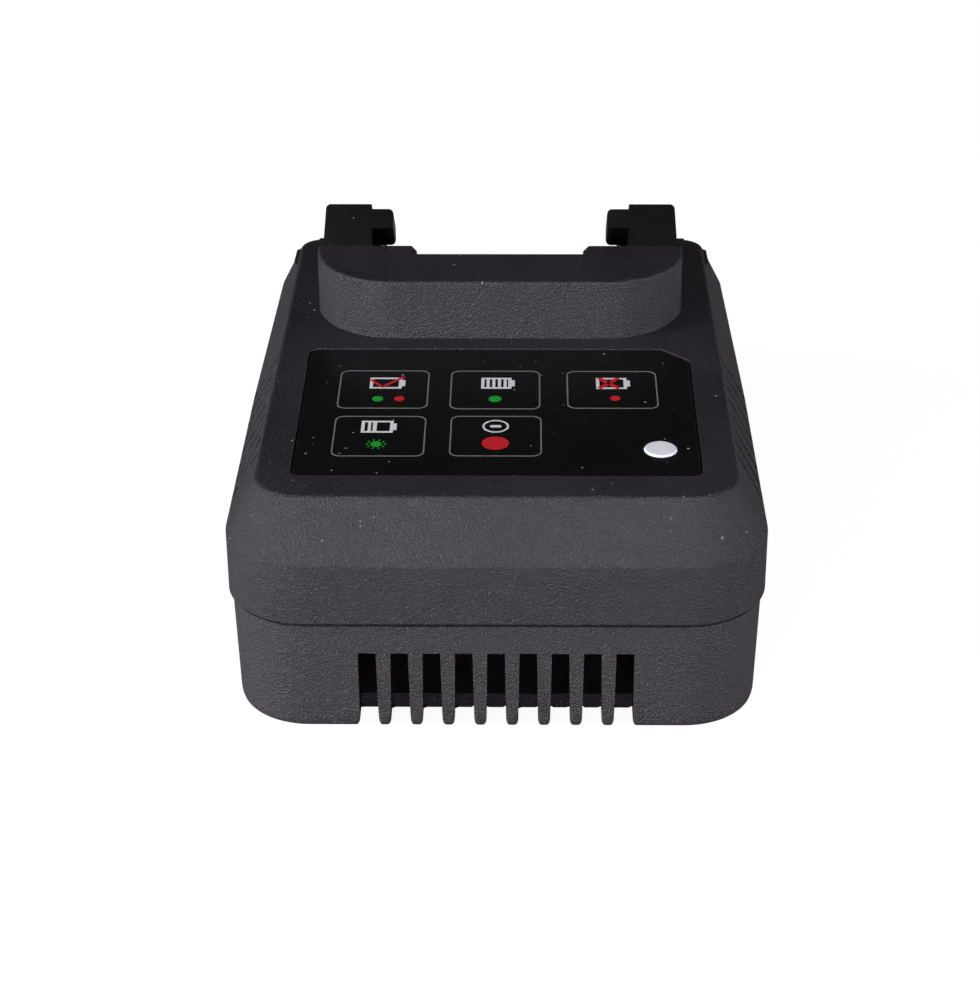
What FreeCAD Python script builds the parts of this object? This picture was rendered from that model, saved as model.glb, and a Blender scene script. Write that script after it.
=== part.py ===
import FreeCAD, Part
import math
import os
import re
import Sketcher

# Slide-on battery charger. Millimetres, +X to the right, +Y to the back, +Z up,
# with the origin on the ground under the middle of the case.

doc = FreeCAD.newDocument("battery_charger")
sheet = doc.addObject("Spreadsheet::Sheet", "dims")
vector = FreeCAD.Vector

sizes = {
    # case outside
    "body_width": 96.0,
    "back_taper": 1.3,
    "body_length": 123.0,
    "foot_height": 0.8,
    "seam_height": 21.4,
    "crease_height": 33.8,
    "top_height": 44.0,
    "bevel_inset": 6.5,
    "corner_radius": 14.5,
    "base_step": 0.7,
    "base_draft": 0.6,
    "wall": 2.2,
    "edge_round": 1.0,
    "base_edge_round": 1.6,
    "seam_gap": 0.8,
    "tongue_height": 1.8,
    "tongue_thickness": 1.0,
    "fit_gap": 0.15,
    # raised nose in front of the dock
    "nose_front": 7.4,
    "nose_half_width": 35.45,
    "nose_height": 55.8,
    "nose_corner_radius": 15.0,
    "nose_back": 24.4,
    "nose_notch_half_width": 16.2,
    "nose_notch_depth": 3.8,
    # battery dock
    "dock_slope": 40.0,
    "dock_length": 32.0,
    "dock_floor": 2.4,
    "rail_outer": 34.0,
    "rail_inner": 25.3,
    "rail_height": 8.5,
    "lip_inner": 21.0,
    "lip_bottom": 3.6,
    "lip_top": 7.5,
    "dock_end_thickness": 2.4,
    "dock_end_height": 8.5,
    "terminal_width": 30.0,
    "terminal_length": 7.0,
    "terminal_height": 4.6,
    "blade_pitch": 7.0,
    "blade_thickness": 0.8,
    "blade_height": 2.7,
    "blade_reach": 5.5,
    "blade_tail": 8.0,
    "blade_lift": 0.5,
    # label, lens and grip ribs
    "label_half_width": 35.8,
    "label_front": -47.3,
    "label_back": 2.7,
    "label_corner": 1.5,
    "label_chamfer": 5.0,
    "label_depth": 0.9,
    "label_thickness": 0.75,
    "lens_radius": 3.0,
    "lens_x": 29.1,
    "lens_y": -37.3,
    "lens_stem_radius": 2.0,
    "lens_collar_height": 6.0,
    "lens_collar_wall": 1.5,
    "groove_width": 1.3,
    "groove_depth": 1.1,
    "groove_pitch": 5.5,
    "groove_count": 8.0,
    "groove_first": -37.5,
    # vents
    "slot_count": 9.0,
    "slot_pitch": 5.67,
    "slot_width": 3.3,
    "slot_top": 15.6,
    "slot_wrap": 6.0,
    # screws and feet
    "column_front_x": 36.0,
    "column_front_y": -48.0,
    "column_back_x": 38.5,
    "column_back_y": 46.0,
    "column_radius": 3.4,
    "column_hole": 1.7,
    "pilot_hole": 1.25,
    "pilot_depth": 10.0,
    "screw_head_radius": 2.8,
    "screw_head_height": 2.2,
    "screw_radius": 1.15,
    "screw_recess_radius": 3.1,
    "screw_seat": 6.0,
    "foot_radius": 4.5,
    "foot_recess": 0.6,
    "foot_x": 29.0,
    "foot_front_y": -36.0,
    "foot_back_y": 46.0,
    # circuit board and what stands on it
    "board_height": 8.0,
    "board_thickness": 1.6,
    "board_half_width": 41.0,
    "board_front": -43.0,
    "board_back": 41.0,
    "standoff_x": 35.5,
    "standoff_front_y": -37.0,
    "standoff_back_y": 35.5,
    "standoff_radius": 3.0,
    "board_hole": 1.5,
    "core_width": 28.0,
    "core_depth": 24.0,
    "core_height": 22.0,
    "core_x": 4.0,
    "core_y": -8.0,
    "core_leg": 5.0,
    "winding_gap": 0.3,
    "winding_bulge": 3.0,
    "input_cap_radius": 8.0,
    "input_cap_height": 24.0,
    "input_cap_x": -26.0,
    "input_cap_y": 4.0,
    "output_cap_radius": 5.0,
    "output_cap_height": 18.0,
    "output_cap_x": 8.0,
    "output_cap_y": -33.0,
    "output_cap_pitch": 11.5,
    "sink_x": 32.0,
    "sink_y": -2.0,
    "sink_length": 44.0,
    "sink_height": 20.0,
    "sink_plate": 2.0,
    "fin_reach": 6.0,
    "fin_pitch": 6.0,
    "fin_thickness": 1.2,
    "choke_radius": 8.0,
    "choke_hole": 3.4,
    "choke_height": 10.0,
    "choke_x": -13.0,
    "choke_y": 28.0,
    "film_cap_length": 16.0,
    "film_cap_width": 7.0,
    "film_cap_height": 12.0,
    "fuse_radius": 2.6,
    "fuse_length": 15.0,
    "bridge_length": 18.0,
    "bridge_thickness": 3.6,
    "bridge_height": 14.0,
    "chip_length": 10.0,
    "chip_width": 6.2,
    "chip_height": 1.8,
    "package_width": 10.0,
    "package_height": 15.0,
    "package_thickness": 4.4,
    "package_offset": 11.0,
    "led_radius": 2.5,
    "led_height": 5.2,
    # mains inlet
    "inlet_width": 19.0,
    "inlet_height": 11.0,
    "inlet_length": 15.0,
    "inlet_centre_z": 12.5,
    "inlet_cavity_radius": 3.7,
    "inlet_cavity_depth": 11.5,
    "inlet_flange": 1.5,
    "pin_radius": 1.2,
    "pin_spacing": 8.6,
    "pin_length": 9.0,
    "wire_radius": 0.9,
    "wire_bend": 6.0,
}

for row, (alias, value) in enumerate(sizes.items(), start=1):
    sheet.set(f"A{row}", alias)
    sheet.set(f"B{row}", str(value))
    sheet.setAlias(f"B{row}", alias)
doc.recompute()


def size(text):
    """Value of an expression in the sheet's words."""
    return float(sheet.evalExpression(str(text)))


def bound(text):
    """The same expression as another object writes it."""
    return re.sub(r"[a-z_]+", lambda word: "dims." * (word.group() in sizes) + word.group(), text)


subparts = []


def finish(item, label):
    item.Label = label
    subparts.append(item)
    return item


# Part primitives with bound sizes and places


def bind(item, **expressions):
    for path, text in expressions.items():
        item.setExpression(path.replace("_", "."), bound(str(text)))
    return item


def place(item, x="0", y="0", z="0"):
    for axis, text in (("x", x), ("y", y), ("z", z)):
        item.setExpression(f"Placement.Base.{axis}", bound(str(text)))
    return item


def box(name, x, y, z, length, width, height):
    """A box centred on x and y that stands on z."""
    item = doc.addObject("Part::Box", name)
    bind(item, Length=length, Width=width, Height=height)
    return place(item, f"({x}) - ({length}) / 2", f"({y}) - ({width}) / 2", z)


def cylinder(name, x, y, z, radius, height, along="z"):
    """A cylinder that starts at x, y, z and runs along an axis."""
    item = doc.addObject("Part::Cylinder", name)
    bind(item, Radius=radius, Height=height)
    turns = {"x": (vector(0, 1, 0), 90), "y": (vector(1, 0, 0), -90)}
    if along in turns:
        item.Placement = FreeCAD.Placement(vector(0, 0, 0), FreeCAD.Rotation(*turns[along]))
    return place(item, x, y, z)


def fuse(name, items):
    item = doc.addObject("Part::MultiFuse", name)
    item.Shapes = items
    return item


def cut(name, base, tool):
    item = doc.addObject("Part::Cut", name)
    item.Base = base
    item.Tool = tool
    return item


def compound(name, items):
    item = doc.addObject("Part::Compound", name)
    item.Links = items
    return item


# Sketches on a body's own origin planes


def plane_of(body, role):
    for feature in body.Origin.OriginFeatures:
        if feature.Role == role:
            return feature
    raise ValueError(role)


def new_sketch(body, name, role="XY_Plane", height="0"):
    sketch = body.newObject("Sketcher::SketchObject", name)
    sketch.AttachmentSupport = (plane_of(body, role), [""])
    sketch.MapMode = "FlatFace"
    sketch.setExpression("AttachmentOffset.Base.z", bound(str(height)))
    doc.recompute()
    return sketch


def pin_point(sketch, element, end, label, x, y):
    """Fix a point of an element at bound coordinates."""
    for axis, text in (("DistanceX", x), ("DistanceY", y)):
        index = sketch.addConstraint(Sketcher.Constraint(axis, -1, 1, element, end, size(text)))
        word = f"{label}_{axis[-1].lower()}"
        sketch.renameConstraint(index, word)
        sketch.setExpression(f"Constraints.{word}", bound(str(text)))


def polygon(sketch, corners):
    """Closed outline of straight lines through bound corners."""
    points = [vector(size(x), size(y), 0) for x, y in corners]
    first = sketch.GeometryCount
    count = len(points)
    for k in range(count):
        sketch.addGeometry(Part.LineSegment(points[k], points[(k + 1) % count]))
    for k in range(count):
        sketch.addConstraint(Sketcher.Constraint("Coincident", first + k, 2, first + (k + 1) % count, 1))
        pin_point(sketch, first + k, 1, f"corner{first + k}", *corners[k])


def rounded_outline(sketch, corners, radii):
    """Closed outline of lines through bound corners, each corner rounded by its own arc."""
    first = sketch.GeometryCount
    count = len(corners)
    points = [vector(size(x), size(y), 0) for x, y in corners]
    starts, ends, centres = [], [], []
    for k in range(count):
        here = points[k]
        before = (points[k - 1] - here).normalize()
        after = (points[(k + 1) % count] - here).normalize()
        half = before.getAngle(after) / 2
        radius = size(radii[k])
        reach = radius / math.tan(half)
        starts.append(here + before * reach)
        ends.append(here + after * reach)
        centres.append(here + (before + after).normalize() * (radius / math.sin(half)))
    for k in range(count):
        sketch.addGeometry(Part.LineSegment(ends[k], starts[(k + 1) % count]))
    for k in range(count):
        middle = centres[k] + (points[k] - centres[k]).normalize() * size(radii[k])
        sketch.addGeometry(Part.Arc(starts[k], middle, ends[k]))
    for k in range(count):
        sketch.addGeometry(Part.Point(points[k]), True)
    for k in range(count):
        line_in = first + (k - 1) % count
        line_out = first + k
        arc = first + count + k
        corner = first + 2 * count + k
        arc_start = 1 if sketch.getPoint(arc, 1).distanceToPoint(starts[k]) < 1e-4 else 2
        sketch.addConstraint(Sketcher.Constraint("Tangent", line_in, 2, arc, arc_start))
        sketch.addConstraint(Sketcher.Constraint("Tangent", line_out, 1, arc, 3 - arc_start))
        sketch.addConstraint(Sketcher.Constraint("PointOnObject", corner, 1, line_in))
        sketch.addConstraint(Sketcher.Constraint("PointOnObject", corner, 1, line_out))
        pin_point(sketch, corner, 1, f"corner{corner}", *corners[k])
        index = sketch.addConstraint(Sketcher.Constraint("Radius", arc, size(radii[k])))
        sketch.renameConstraint(index, f"round{corner}")
        sketch.setExpression(f"Constraints.round{corner}", bound(radii[k]))


def circle(sketch, x, y, radius):
    index = sketch.addGeometry(Part.Circle(vector(size(x), size(y), 0), vector(0, 0, 1), size(radius)))
    pin_point(sketch, index, 3, f"centre{index}", x, y)
    constraint = sketch.addConstraint(Sketcher.Constraint("Radius", index, size(radius)))
    sketch.renameConstraint(constraint, f"radius{index}")
    sketch.setExpression(f"Constraints.radius{index}", bound(str(radius)))


def pad(body, name, sketch, length, backwards=False, draw_in=None):
    """A pad above its sketch, or below it, drawn in by a distance at its far end."""
    feature = body.newObject("PartDesign::Pad", name)
    feature.Profile = sketch
    feature.Reversed = backwards
    feature.setExpression("Length", bound(str(length)))
    if draw_in:
        feature.setExpression("TaperAngle", bound(f"-atan( ({draw_in}) / ({length}) )"))
    doc.recompute()
    return feature


def pocket(body, name, sketch, length, upwards=False, draw_in=None):
    """A pocket below its sketch, or above it, that is checked to take material away."""
    before = body.Shape.Volume
    feature = body.newObject("PartDesign::Pocket", name)
    feature.Profile = sketch
    feature.Reversed = upwards
    feature.setExpression("Length", bound(str(length)))
    if draw_in:
        feature.setExpression("TaperAngle", bound(f"-atan( ({draw_in}) / ({length}) )"))
    doc.recompute()
    if body.Shape.Volume > before - 0.01:
        raise RuntimeError(f"{name} cuts nothing")
    return feature


def round_edges(body, name, radius, wanted):
    """Fillet the edges of the body's tip that a test picks."""
    base = body.Tip
    picked = [f"Edge{k}" for k, edge in enumerate(base.Shape.Edges, start=1) if wanted(edge)]
    feature = body.newObject("PartDesign::Fillet", name)
    feature.Base = (base, picked)
    feature.setExpression("Radius", bound(radius))
    doc.recompute()
    return feature


def level(edge, height):
    """Whether an edge lies flat at a height."""
    box_of = edge.BoundBox
    return box_of.ZLength < 1e-3 and abs(box_of.ZMin - height) < 1e-3


def add_case_outline(sketch, inset):
    """The case in plan, a little narrower at the back, drawn in by an inset."""
    front = f"body_width / 2 - ({inset})"
    back = f"body_width / 2 - back_taper - ({inset})"
    front_y = f"-body_length / 2 + {inset}"
    back_y = f"body_length / 2 - ({inset})"
    corners = [(f"-({front})", front_y), (front, front_y), (back, back_y), (f"-({back})", back_y)]
    rounded_outline(sketch, corners, [f"corner_radius - ({inset})"] * 4)


def case_sketch(body, name, height, inset):
    sketch = new_sketch(body, name, height=height)
    add_case_outline(sketch, inset)
    return sketch


column_spots = [
    ("-column_front_x", "column_front_y"),
    ("column_front_x", "column_front_y"),
    ("-column_back_x", "column_back_y"),
    ("column_back_x", "column_back_y"),
]
standoff_spots = [
    ("-standoff_x", "standoff_front_y"),
    ("standoff_x", "standoff_front_y"),
    ("-standoff_x", "standoff_back_y"),
    ("standoff_x", "standoff_back_y"),
]
foot_spots = [
    ("-foot_x", "foot_front_y"),
    ("foot_x", "foot_front_y"),
    ("-foot_x", "foot_back_y"),
    ("foot_x", "foot_back_y"),
]
cover_bottom = "seam_height + seam_gap"


# Lower half of the case: a tray with a wrapped row of vents


def make_base_cover():
    body = doc.addObject("PartDesign::Body", "base_cover")
    outline = case_sketch(body, "base_outline", "seam_height", "base_step")
    pad(body, "base_shell", outline, "seam_height - foot_height", backwards=True, draw_in="base_draft")
    bottom = size("foot_height")
    round_edges(body, "base_bottom_round", "base_edge_round", lambda edge: level(edge, bottom))
    tray = case_sketch(body, "base_inside", "seam_height", "base_step + base_draft + wall")
    pocket(body, "base_hollow", tray, "seam_height - foot_height - wall")

    tongue = new_sketch(body, "tongue_outline", height="seam_height")
    add_case_outline(tongue, "wall + fit_gap")
    add_case_outline(tongue, "wall + fit_gap + tongue_thickness")
    pad(body, "tongue", tongue, "seam_gap + tongue_height")
    return body


def add_base_details(body):
    floor = "foot_height + wall"
    columns = new_sketch(body, "column_circles", height="foot_height")
    for x, y in column_spots:
        circle(columns, x, y, "column_radius")
    pad(body, "columns", columns, "seam_height + seam_gap - foot_height")
    standoffs = new_sketch(body, "standoff_circles", height="foot_height")
    for x, y in standoff_spots:
        circle(standoffs, x, y, "standoff_radius")
    pad(body, "standoffs", standoffs, "board_height - foot_height")

    bores = new_sketch(body, "column_bores", height=cover_bottom)
    for x, y in column_spots:
        circle(bores, x, y, "column_hole")
    pocket(body, "column_holes", bores, "seam_height + seam_gap")
    recesses = new_sketch(body, "screw_recesses", height="screw_seat")
    for x, y in column_spots:
        circle(recesses, x, y, "screw_recess_radius")
    pocket(body, "screw_pockets", recesses, "screw_seat")
    pilots = new_sketch(body, "standoff_pilots", height="board_height")
    for x, y in standoff_spots:
        circle(pilots, x, y, "pilot_hole")
    pocket(body, "pilot_holes", pilots, "board_height - foot_height - wall / 2")
    pads = new_sketch(body, "foot_seats", height="foot_height")
    for x, y in foot_spots:
        circle(pads, x, y, "foot_radius + fit_gap")
    pocket(body, "foot_recesses", pads, "foot_recess", upwards=True)

    slot = new_sketch(body, "slot_outline", height="0")
    half = "slot_width / 2"
    first = "-(slot_count - 1) / 2 * slot_pitch"
    front = "-body_length / 2 - 1"
    polygon(slot, [
        (f"{first} - {half}", front),
        (f"{first} + {half}", front),
        (f"{first} + {half}", "-body_length / 2 + base_step + base_draft + slot_wrap"),
        (f"{first} - {half}", "-body_length / 2 + base_step + base_draft + slot_wrap"),
    ])
    cutter = pocket(body, "vent_slot", slot, "slot_top", upwards=True)
    row = body.newObject("PartDesign::LinearPattern", "vent_slots")
    row.Originals = [cutter]
    row.Direction = (slot, ["H_Axis"])
    row.setExpression("Occurrences", "dims.slot_count")
    row.setExpression("Length", "(dims.slot_count - 1) * dims.slot_pitch")
    body.Tip = row
    doc.recompute()

    window = new_sketch(body, "inlet_window", "XZ_Plane")
    window.setExpression("AttachmentOffset.Base.z", "-dims.body_length / 2 - 1")
    reach = "inlet_width / 2 + fit_gap"
    rise = "inlet_height / 2 + fit_gap"
    polygon(window, [
        (f"-({reach})", f"inlet_centre_z - ({rise})"),
        (reach, f"inlet_centre_z - ({rise})"),
        (reach, f"inlet_centre_z + {rise}"),
        (f"-({reach})", f"inlet_centre_z + {rise}"),
    ])
    pocket(body, "inlet_opening", window, "base_step + base_draft + wall + 2", upwards=True)
    return finish(body, "base_cover")


# Upper half of the case: bevelled shell with the raised nose


def make_top_cover():
    body = doc.addObject("PartDesign::Body", "top_cover")
    skirt = case_sketch(body, "skirt_outline", cover_bottom, "0")
    pad(body, "skirt", skirt, "crease_height - seam_height - seam_gap")
    bevel = case_sketch(body, "bevel_outline", "crease_height", "0")
    pad(body, "bevel", bevel, "top_height - crease_height", draw_in="bevel_inset")
    top, crease = size("top_height"), size("crease_height")
    round_edges(body, "bevel_rounds", "edge_round",
                lambda edge: level(edge, top) or level(edge, crease))

    nose = new_sketch(body, "nose_outline", height="crease_height")
    back = "body_length / 2 - bevel_inset"
    rounded_outline(nose, [
        ("-nose_half_width", "nose_front"),
        ("nose_half_width", "nose_front"),
        ("nose_half_width", back),
        ("-nose_half_width", back),
    ], ["nose_corner_radius", "nose_corner_radius", "edge_round", "edge_round"])
    pad(body, "nose", nose, "nose_height - crease_height")
    nose_top = size("nose_height")
    round_edges(body, "nose_round", "edge_round * 0.6",
                lambda edge: level(edge, nose_top) and edge.BoundBox.YMin < size("nose_back"))
    return body


def hollow_top_cover(body):
    inner = case_sketch(body, "skirt_inside", cover_bottom, "wall")
    pocket(body, "skirt_hollow", inner, "crease_height - seam_height - seam_gap - wall / 2", upwards=True)
    roof = case_sketch(body, "bevel_inside", "crease_height - wall / 2", "wall")
    pocket(body, "bevel_hollow", roof, "top_height - crease_height - wall / 2", upwards=True,
           draw_in="bevel_inset * (1 - wall / 2 / (top_height - crease_height))")
    nose = new_sketch(body, "nose_inside", height="top_height - wall - 1")
    nose_side = "nose_half_width - nose_corner_radius / 2"
    rounded_outline(nose, [
        (f"-({nose_side})", "nose_front + wall"),
        (nose_side, "nose_front + wall"),
        (nose_side, "nose_back - nose_notch_depth - wall"),
        (f"-({nose_side})", "nose_back - nose_notch_depth - wall"),
    ], ["nose_corner_radius / 2", "nose_corner_radius / 2", "edge_round", "edge_round"])
    pocket(body, "nose_hollow", nose, "nose_height - top_height + 1", upwards=True)

    # the nose and its side walls fall away along the dock's slope
    slope = new_sketch(body, "slope_side", "YZ_Plane")
    slope.setExpression("AttachmentOffset.Base.z", "-dims.body_width / 2")
    reach = "body_length / 2 - bevel_inset"
    meet = "nose_back + (nose_height - top_height) / tan(dock_slope)"
    polygon(slope, [
        ("nose_back", "nose_height"),
        (meet, "top_height"),
        (f"{reach} + 1", "top_height"),
        (f"{reach} + 1", "nose_height + 1"),
        ("nose_back", "nose_height + 1"),
    ])
    pocket(body, "slope_cut", slope, "body_width", upwards=True)
    side = "rail_outer + fit_gap"
    well = new_sketch(body, "dock_well", height="nose_height + 1")
    end = "nose_back + dock_length * cos(dock_slope) + dock_end_height * sin(dock_slope) + fit_gap * 2"
    polygon(well, [
        (f"-({side})", "nose_back"),
        (side, "nose_back"),
        (side, end),
        (f"-({side})", end),
    ])
    pocket(body, "dock_opening", well, "nose_height - crease_height + 6")
    notch = new_sketch(body, "nose_notch", height="nose_height + 1")
    polygon(notch, [
        ("-nose_notch_half_width", "nose_back - nose_notch_depth"),
        ("nose_notch_half_width", "nose_back - nose_notch_depth"),
        ("nose_notch_half_width", "nose_back + 1"),
        ("-nose_notch_half_width", "nose_back + 1"),
    ])
    pocket(body, "nose_notch_cut", notch, "nose_notch_depth + 1")
    return body


def add_top_details(body):
    columns = new_sketch(body, "boss_circles", height=cover_bottom)
    for x, y in column_spots:
        circle(columns, x, y, "column_radius")
    pad(body, "bosses", columns, "top_height - wall / 2 - seam_height - seam_gap")
    pilots = new_sketch(body, "boss_pilots", height=cover_bottom)
    for x, y in column_spots:
        circle(pilots, x, y, "pilot_hole")
    pocket(body, "boss_holes", pilots, "pilot_depth", upwards=True)
    collar = new_sketch(body, "lens_collar", height="top_height - wall - lens_collar_height")
    circle(collar, "lens_x", "lens_y", "lens_radius + fit_gap + lens_collar_wall")
    pad(body, "lens_tube", collar, "lens_collar_height + wall / 2")
    bore = new_sketch(body, "lens_bore", height="top_height + 1")
    circle(bore, "lens_x", "lens_y", "lens_radius + fit_gap")
    pocket(body, "lens_hole", bore, "lens_collar_height + wall + 2")
    panel = new_sketch(body, "label_outline", height="top_height + 1")
    label_outline(panel, "fit_gap")
    pocket(body, "label_recess", panel, "label_depth + 1")

    # one grip groove is cut square to the bevel, repeated along it and mirrored
    groove = new_sketch(body, "groove_outline", "XZ_Plane")
    groove.setExpression("AttachmentOffset.Base.z", bound("groove_width / 2 - groove_first"))
    for sign in ("", "-"):
        polygon(groove, [
            (f"{sign}(body_width / 2 - bevel_inset + 0.5 - groove_depth)", "top_height - 0.5 - groove_depth"),
            (f"{sign}(body_width / 2 - bevel_inset + 3.5)", "top_height + 2.5 - groove_depth"),
            (f"{sign}(body_width / 2 + 3)", "crease_height"),
            (f"{sign}(body_width / 2 - groove_depth)", "crease_height"),
        ])
    first = pocket(body, "grip_groove", groove, "groove_width")
    row = body.newObject("PartDesign::LinearPattern", "grip_groove_row")
    row.Originals = [first]
    row.Direction = (plane_of(body, "Y_Axis"), [""])
    row.setExpression("Occurrences", "dims.groove_count")
    row.setExpression("Length", "(dims.groove_count - 1) * dims.groove_pitch")
    body.Tip = row
    doc.recompute()
    return body


def label_outline(sketch, gap):
    """Label panel outline with one clipped corner, larger all round by a gap."""
    side = f"label_half_width + {gap}"
    front = f"label_front - {gap}"
    back = f"label_back + {gap}"
    rounded_outline(sketch, [
        (f"-({side})", front),
        (side, front),
        (side, f"{back} - label_chamfer"),
        (f"{side} - label_chamfer", back),
        (f"-({side})", back),
    ], ["label_corner"] * 5)


# Battery dock: a sloping floor with two lipped rails, seen from the mouth


def dock_place(body):
    """The dock's own frame: X across, Y down the slope, Z away from its floor."""
    body.Placement = FreeCAD.Placement(vector(0, 0, 0), FreeCAD.Rotation(vector(1, 0, 0), -size("dock_slope")))
    body.setExpression("Placement.Rotation.Angle", bound("dock_slope"))
    body.setExpression("Placement.Rotation.Axis.x", "-1")
    return place(body, "0", "nose_back + fit_gap", "nose_height")


def make_battery_dock():
    body = doc.addObject("PartDesign::Body", "battery_dock")
    section = new_sketch(body, "rail_section", "XZ_Plane")
    polygon(section, [
        ("-rail_outer", "-dock_floor"),
        ("rail_outer", "-dock_floor"),
        ("rail_outer - 0.6", "rail_height"),
        ("rail_inner", "rail_height"),
        ("rail_inner", "lip_top"),
        ("lip_inner", "lip_top"),
        ("lip_inner", "lip_bottom"),
        ("rail_inner", "lip_bottom"),
        ("rail_inner", "0"),
        ("-rail_inner", "0"),
        ("-rail_inner", "lip_bottom"),
        ("-lip_inner", "lip_bottom"),
        ("-lip_inner", "lip_top"),
        ("-rail_inner", "lip_top"),
        ("-rail_inner", "rail_height"),
        ("0.6 - rail_outer", "rail_height"),
    ])
    pad(body, "rails", section, "dock_length - dock_end_thickness", backwards=True)
    height, outer = size("rail_height"), size("rail_outer") - 1.0
    lip = size("lip_inner")
    round_edges(body, "rail_rounds", "edge_round", lambda edge: edge.BoundBox.YLength > 5 and (
        abs(edge.BoundBox.ZMin - height) < 0.01 and abs(edge.BoundBox.XMin) > outer
        or abs(abs(edge.BoundBox.XMin) - lip) < 0.01))
    end = new_sketch(body, "end_section", "XZ_Plane")
    end.setExpression("AttachmentOffset.Base.z", bound("-dock_length"))
    polygon(end, [
        ("-rail_outer", "-dock_floor"),
        ("rail_outer", "-dock_floor"),
        ("rail_outer", "dock_end_height"),
        ("-rail_outer", "dock_end_height"),
    ])
    pad(body, "end_wall", end, "dock_end_thickness")
    mouth = new_sketch(body, "mouth_side", "YZ_Plane")
    mouth.setExpression("AttachmentOffset.Base.z", "-dims.body_width / 2")
    polygon(mouth, [
        ("-1", "0"),
        ("0", "0"),
        ("(dock_floor + 1) * tan(dock_slope)", "-dock_floor - 1"),
        ("-1", "-dock_floor - 1"),
    ])
    pocket(body, "mouth_cut", mouth, "body_width", upwards=True)
    slots = new_sketch(body, "blade_slots", height="dock_end_height")
    for k in range(blade_count):
        x = blade_x(k)
        half = "(blade_thickness / 2 + fit_gap)"
        front = "dock_length - dock_end_thickness - terminal_length / 2"
        polygon(slots, [
            (f"{x} - {half}", f"{front} - fit_gap"),
            (f"{x} + {half}", f"{front} - fit_gap"),
            (f"{x} + {half}", f"{front} + 2 + fit_gap"),
            (f"{x} - {half}", f"{front} + 2 + fit_gap"),
        ])
    pocket(body, "blade_holes", slots, "dock_end_height + dock_floor + 1")
    return finish(dock_place(body), "battery_dock")


blade_names = ["positive_blade", "data_blade", "thermistor_blade", "negative_blade"]
blade_count = len(blade_names)


def blade_x(k):
    return f"{k - (blade_count - 1) / 2} * blade_pitch"


def make_terminals():
    """A moulded block at the dock's low end and the four bent blades it carries."""
    body = doc.addObject("PartDesign::Body", "terminal_block")
    block = new_sketch(body, "block_outline")
    far = "dock_length - dock_end_thickness"
    polygon(block, [
        ("-terminal_width / 2", f"{far} - terminal_length"),
        ("terminal_width / 2", f"{far} - terminal_length"),
        ("terminal_width / 2", far),
        ("-terminal_width / 2", far),
    ])
    pad(body, "block", block, "terminal_height")
    channels = new_sketch(body, "blade_channels", "XZ_Plane")
    channels.setExpression("AttachmentOffset.Base.z", bound(f"-({far} - terminal_length)"))
    half = "(blade_thickness / 2 + fit_gap / 2)"
    for k in range(blade_count):
        x = blade_x(k)
        polygon(channels, [
            (f"{x} - {half}", "-1"),
            (f"{x} + {half}", "-1"),
            (f"{x} + {half}", "blade_lift + blade_height + fit_gap / 2"),
            (f"{x} - {half}", "blade_lift + blade_height + fit_gap / 2"),
        ])
    pocket(body, "channels", channels, "terminal_length / 2 + 2 + fit_gap / 2")
    finish(dock_place(body), "terminal_block")
    for k, name in enumerate(blade_names):
        blade = doc.addObject("PartDesign::Body", name)
        side = new_sketch(blade, f"{name}_side", "YZ_Plane")
        side.setExpression("AttachmentOffset.Base.z", bound(f"{blade_x(k)} - blade_thickness / 2"))
        near = f"{far} - terminal_length - blade_reach"
        bend = f"{far} - terminal_length / 2"
        polygon(side, [
            (near, "blade_lift + 0.8"),
            (f"{near} + 1.2", "blade_lift"),
            (bend, "blade_lift"),
            (bend, "-dock_floor - blade_tail"),
            (f"{bend} + 2", "-dock_floor - blade_tail"),
            (f"{bend} + 2", "blade_lift + blade_height"),
            (f"{near} + 1.2", "blade_lift + blade_height"),
            (near, "blade_lift + blade_height - 0.8"),
        ])
        pad(blade, f"{name}_pad", side, "blade_thickness")
        finish(dock_place(blade), name)


# Label panel and the status light's lens


def make_label_panel():
    body = doc.addObject("PartDesign::Body", "label_panel")
    outline = new_sketch(body, "panel_outline", height="top_height - label_depth")
    label_outline(outline, "0")
    circle(outline, "lens_x", "lens_y", "lens_radius + fit_gap")
    pad(body, "panel", outline, "label_thickness")
    return finish(body, "label_panel")


def make_light_pipe():
    """The lens, its shoulder under the collar and the stem down to the light."""
    body = doc.addObject("PartDesign::Body", "light_pipe")
    collar = "top_height - wall - lens_collar_height"
    shoulder = new_sketch(body, "shoulder_circle", height=collar)
    circle(shoulder, "lens_x", "lens_y", "lens_radius + fit_gap + lens_collar_wall")
    pad(body, "shoulder", shoulder, "1.6", backwards=True)
    head = new_sketch(body, "lens_circle", height=collar)
    circle(head, "lens_x", "lens_y", "lens_radius")
    pad(body, "lens", head, f"top_height - ({collar}) + 0.1")
    stem = new_sketch(body, "stem_circle", height=f"{collar} - 1.6")
    circle(stem, "lens_x", "lens_y", "lens_stem_radius")
    pad(body, "stem", stem, f"{collar} - 1.6 - board_top - led_height - 0.3".replace(
        "board_top", "board_height - board_thickness"), backwards=True)
    crown = size("top_height") + 0.1
    round_edges(body, "lens_round", "edge_round / 2", lambda edge: level(edge, crown))
    return finish(body, "light_pipe")


# Circuit board, its parts and the fasteners

board_top = "board_height + board_thickness"


def make_board():
    body = doc.addObject("PartDesign::Body", "circuit_board")
    outline = new_sketch(body, "board_outline", height="board_height")
    rounded_outline(outline, [
        ("-board_half_width", "board_front"),
        ("board_half_width", "board_front"),
        ("board_half_width", "board_back"),
        ("-board_half_width", "board_back"),
    ], ["edge_round * 2"] * 4)
    for x, y in standoff_spots:
        circle(outline, x, y, "board_hole")
    pad(body, "board", outline, "board_thickness")
    return finish(body, "circuit_board")


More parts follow.
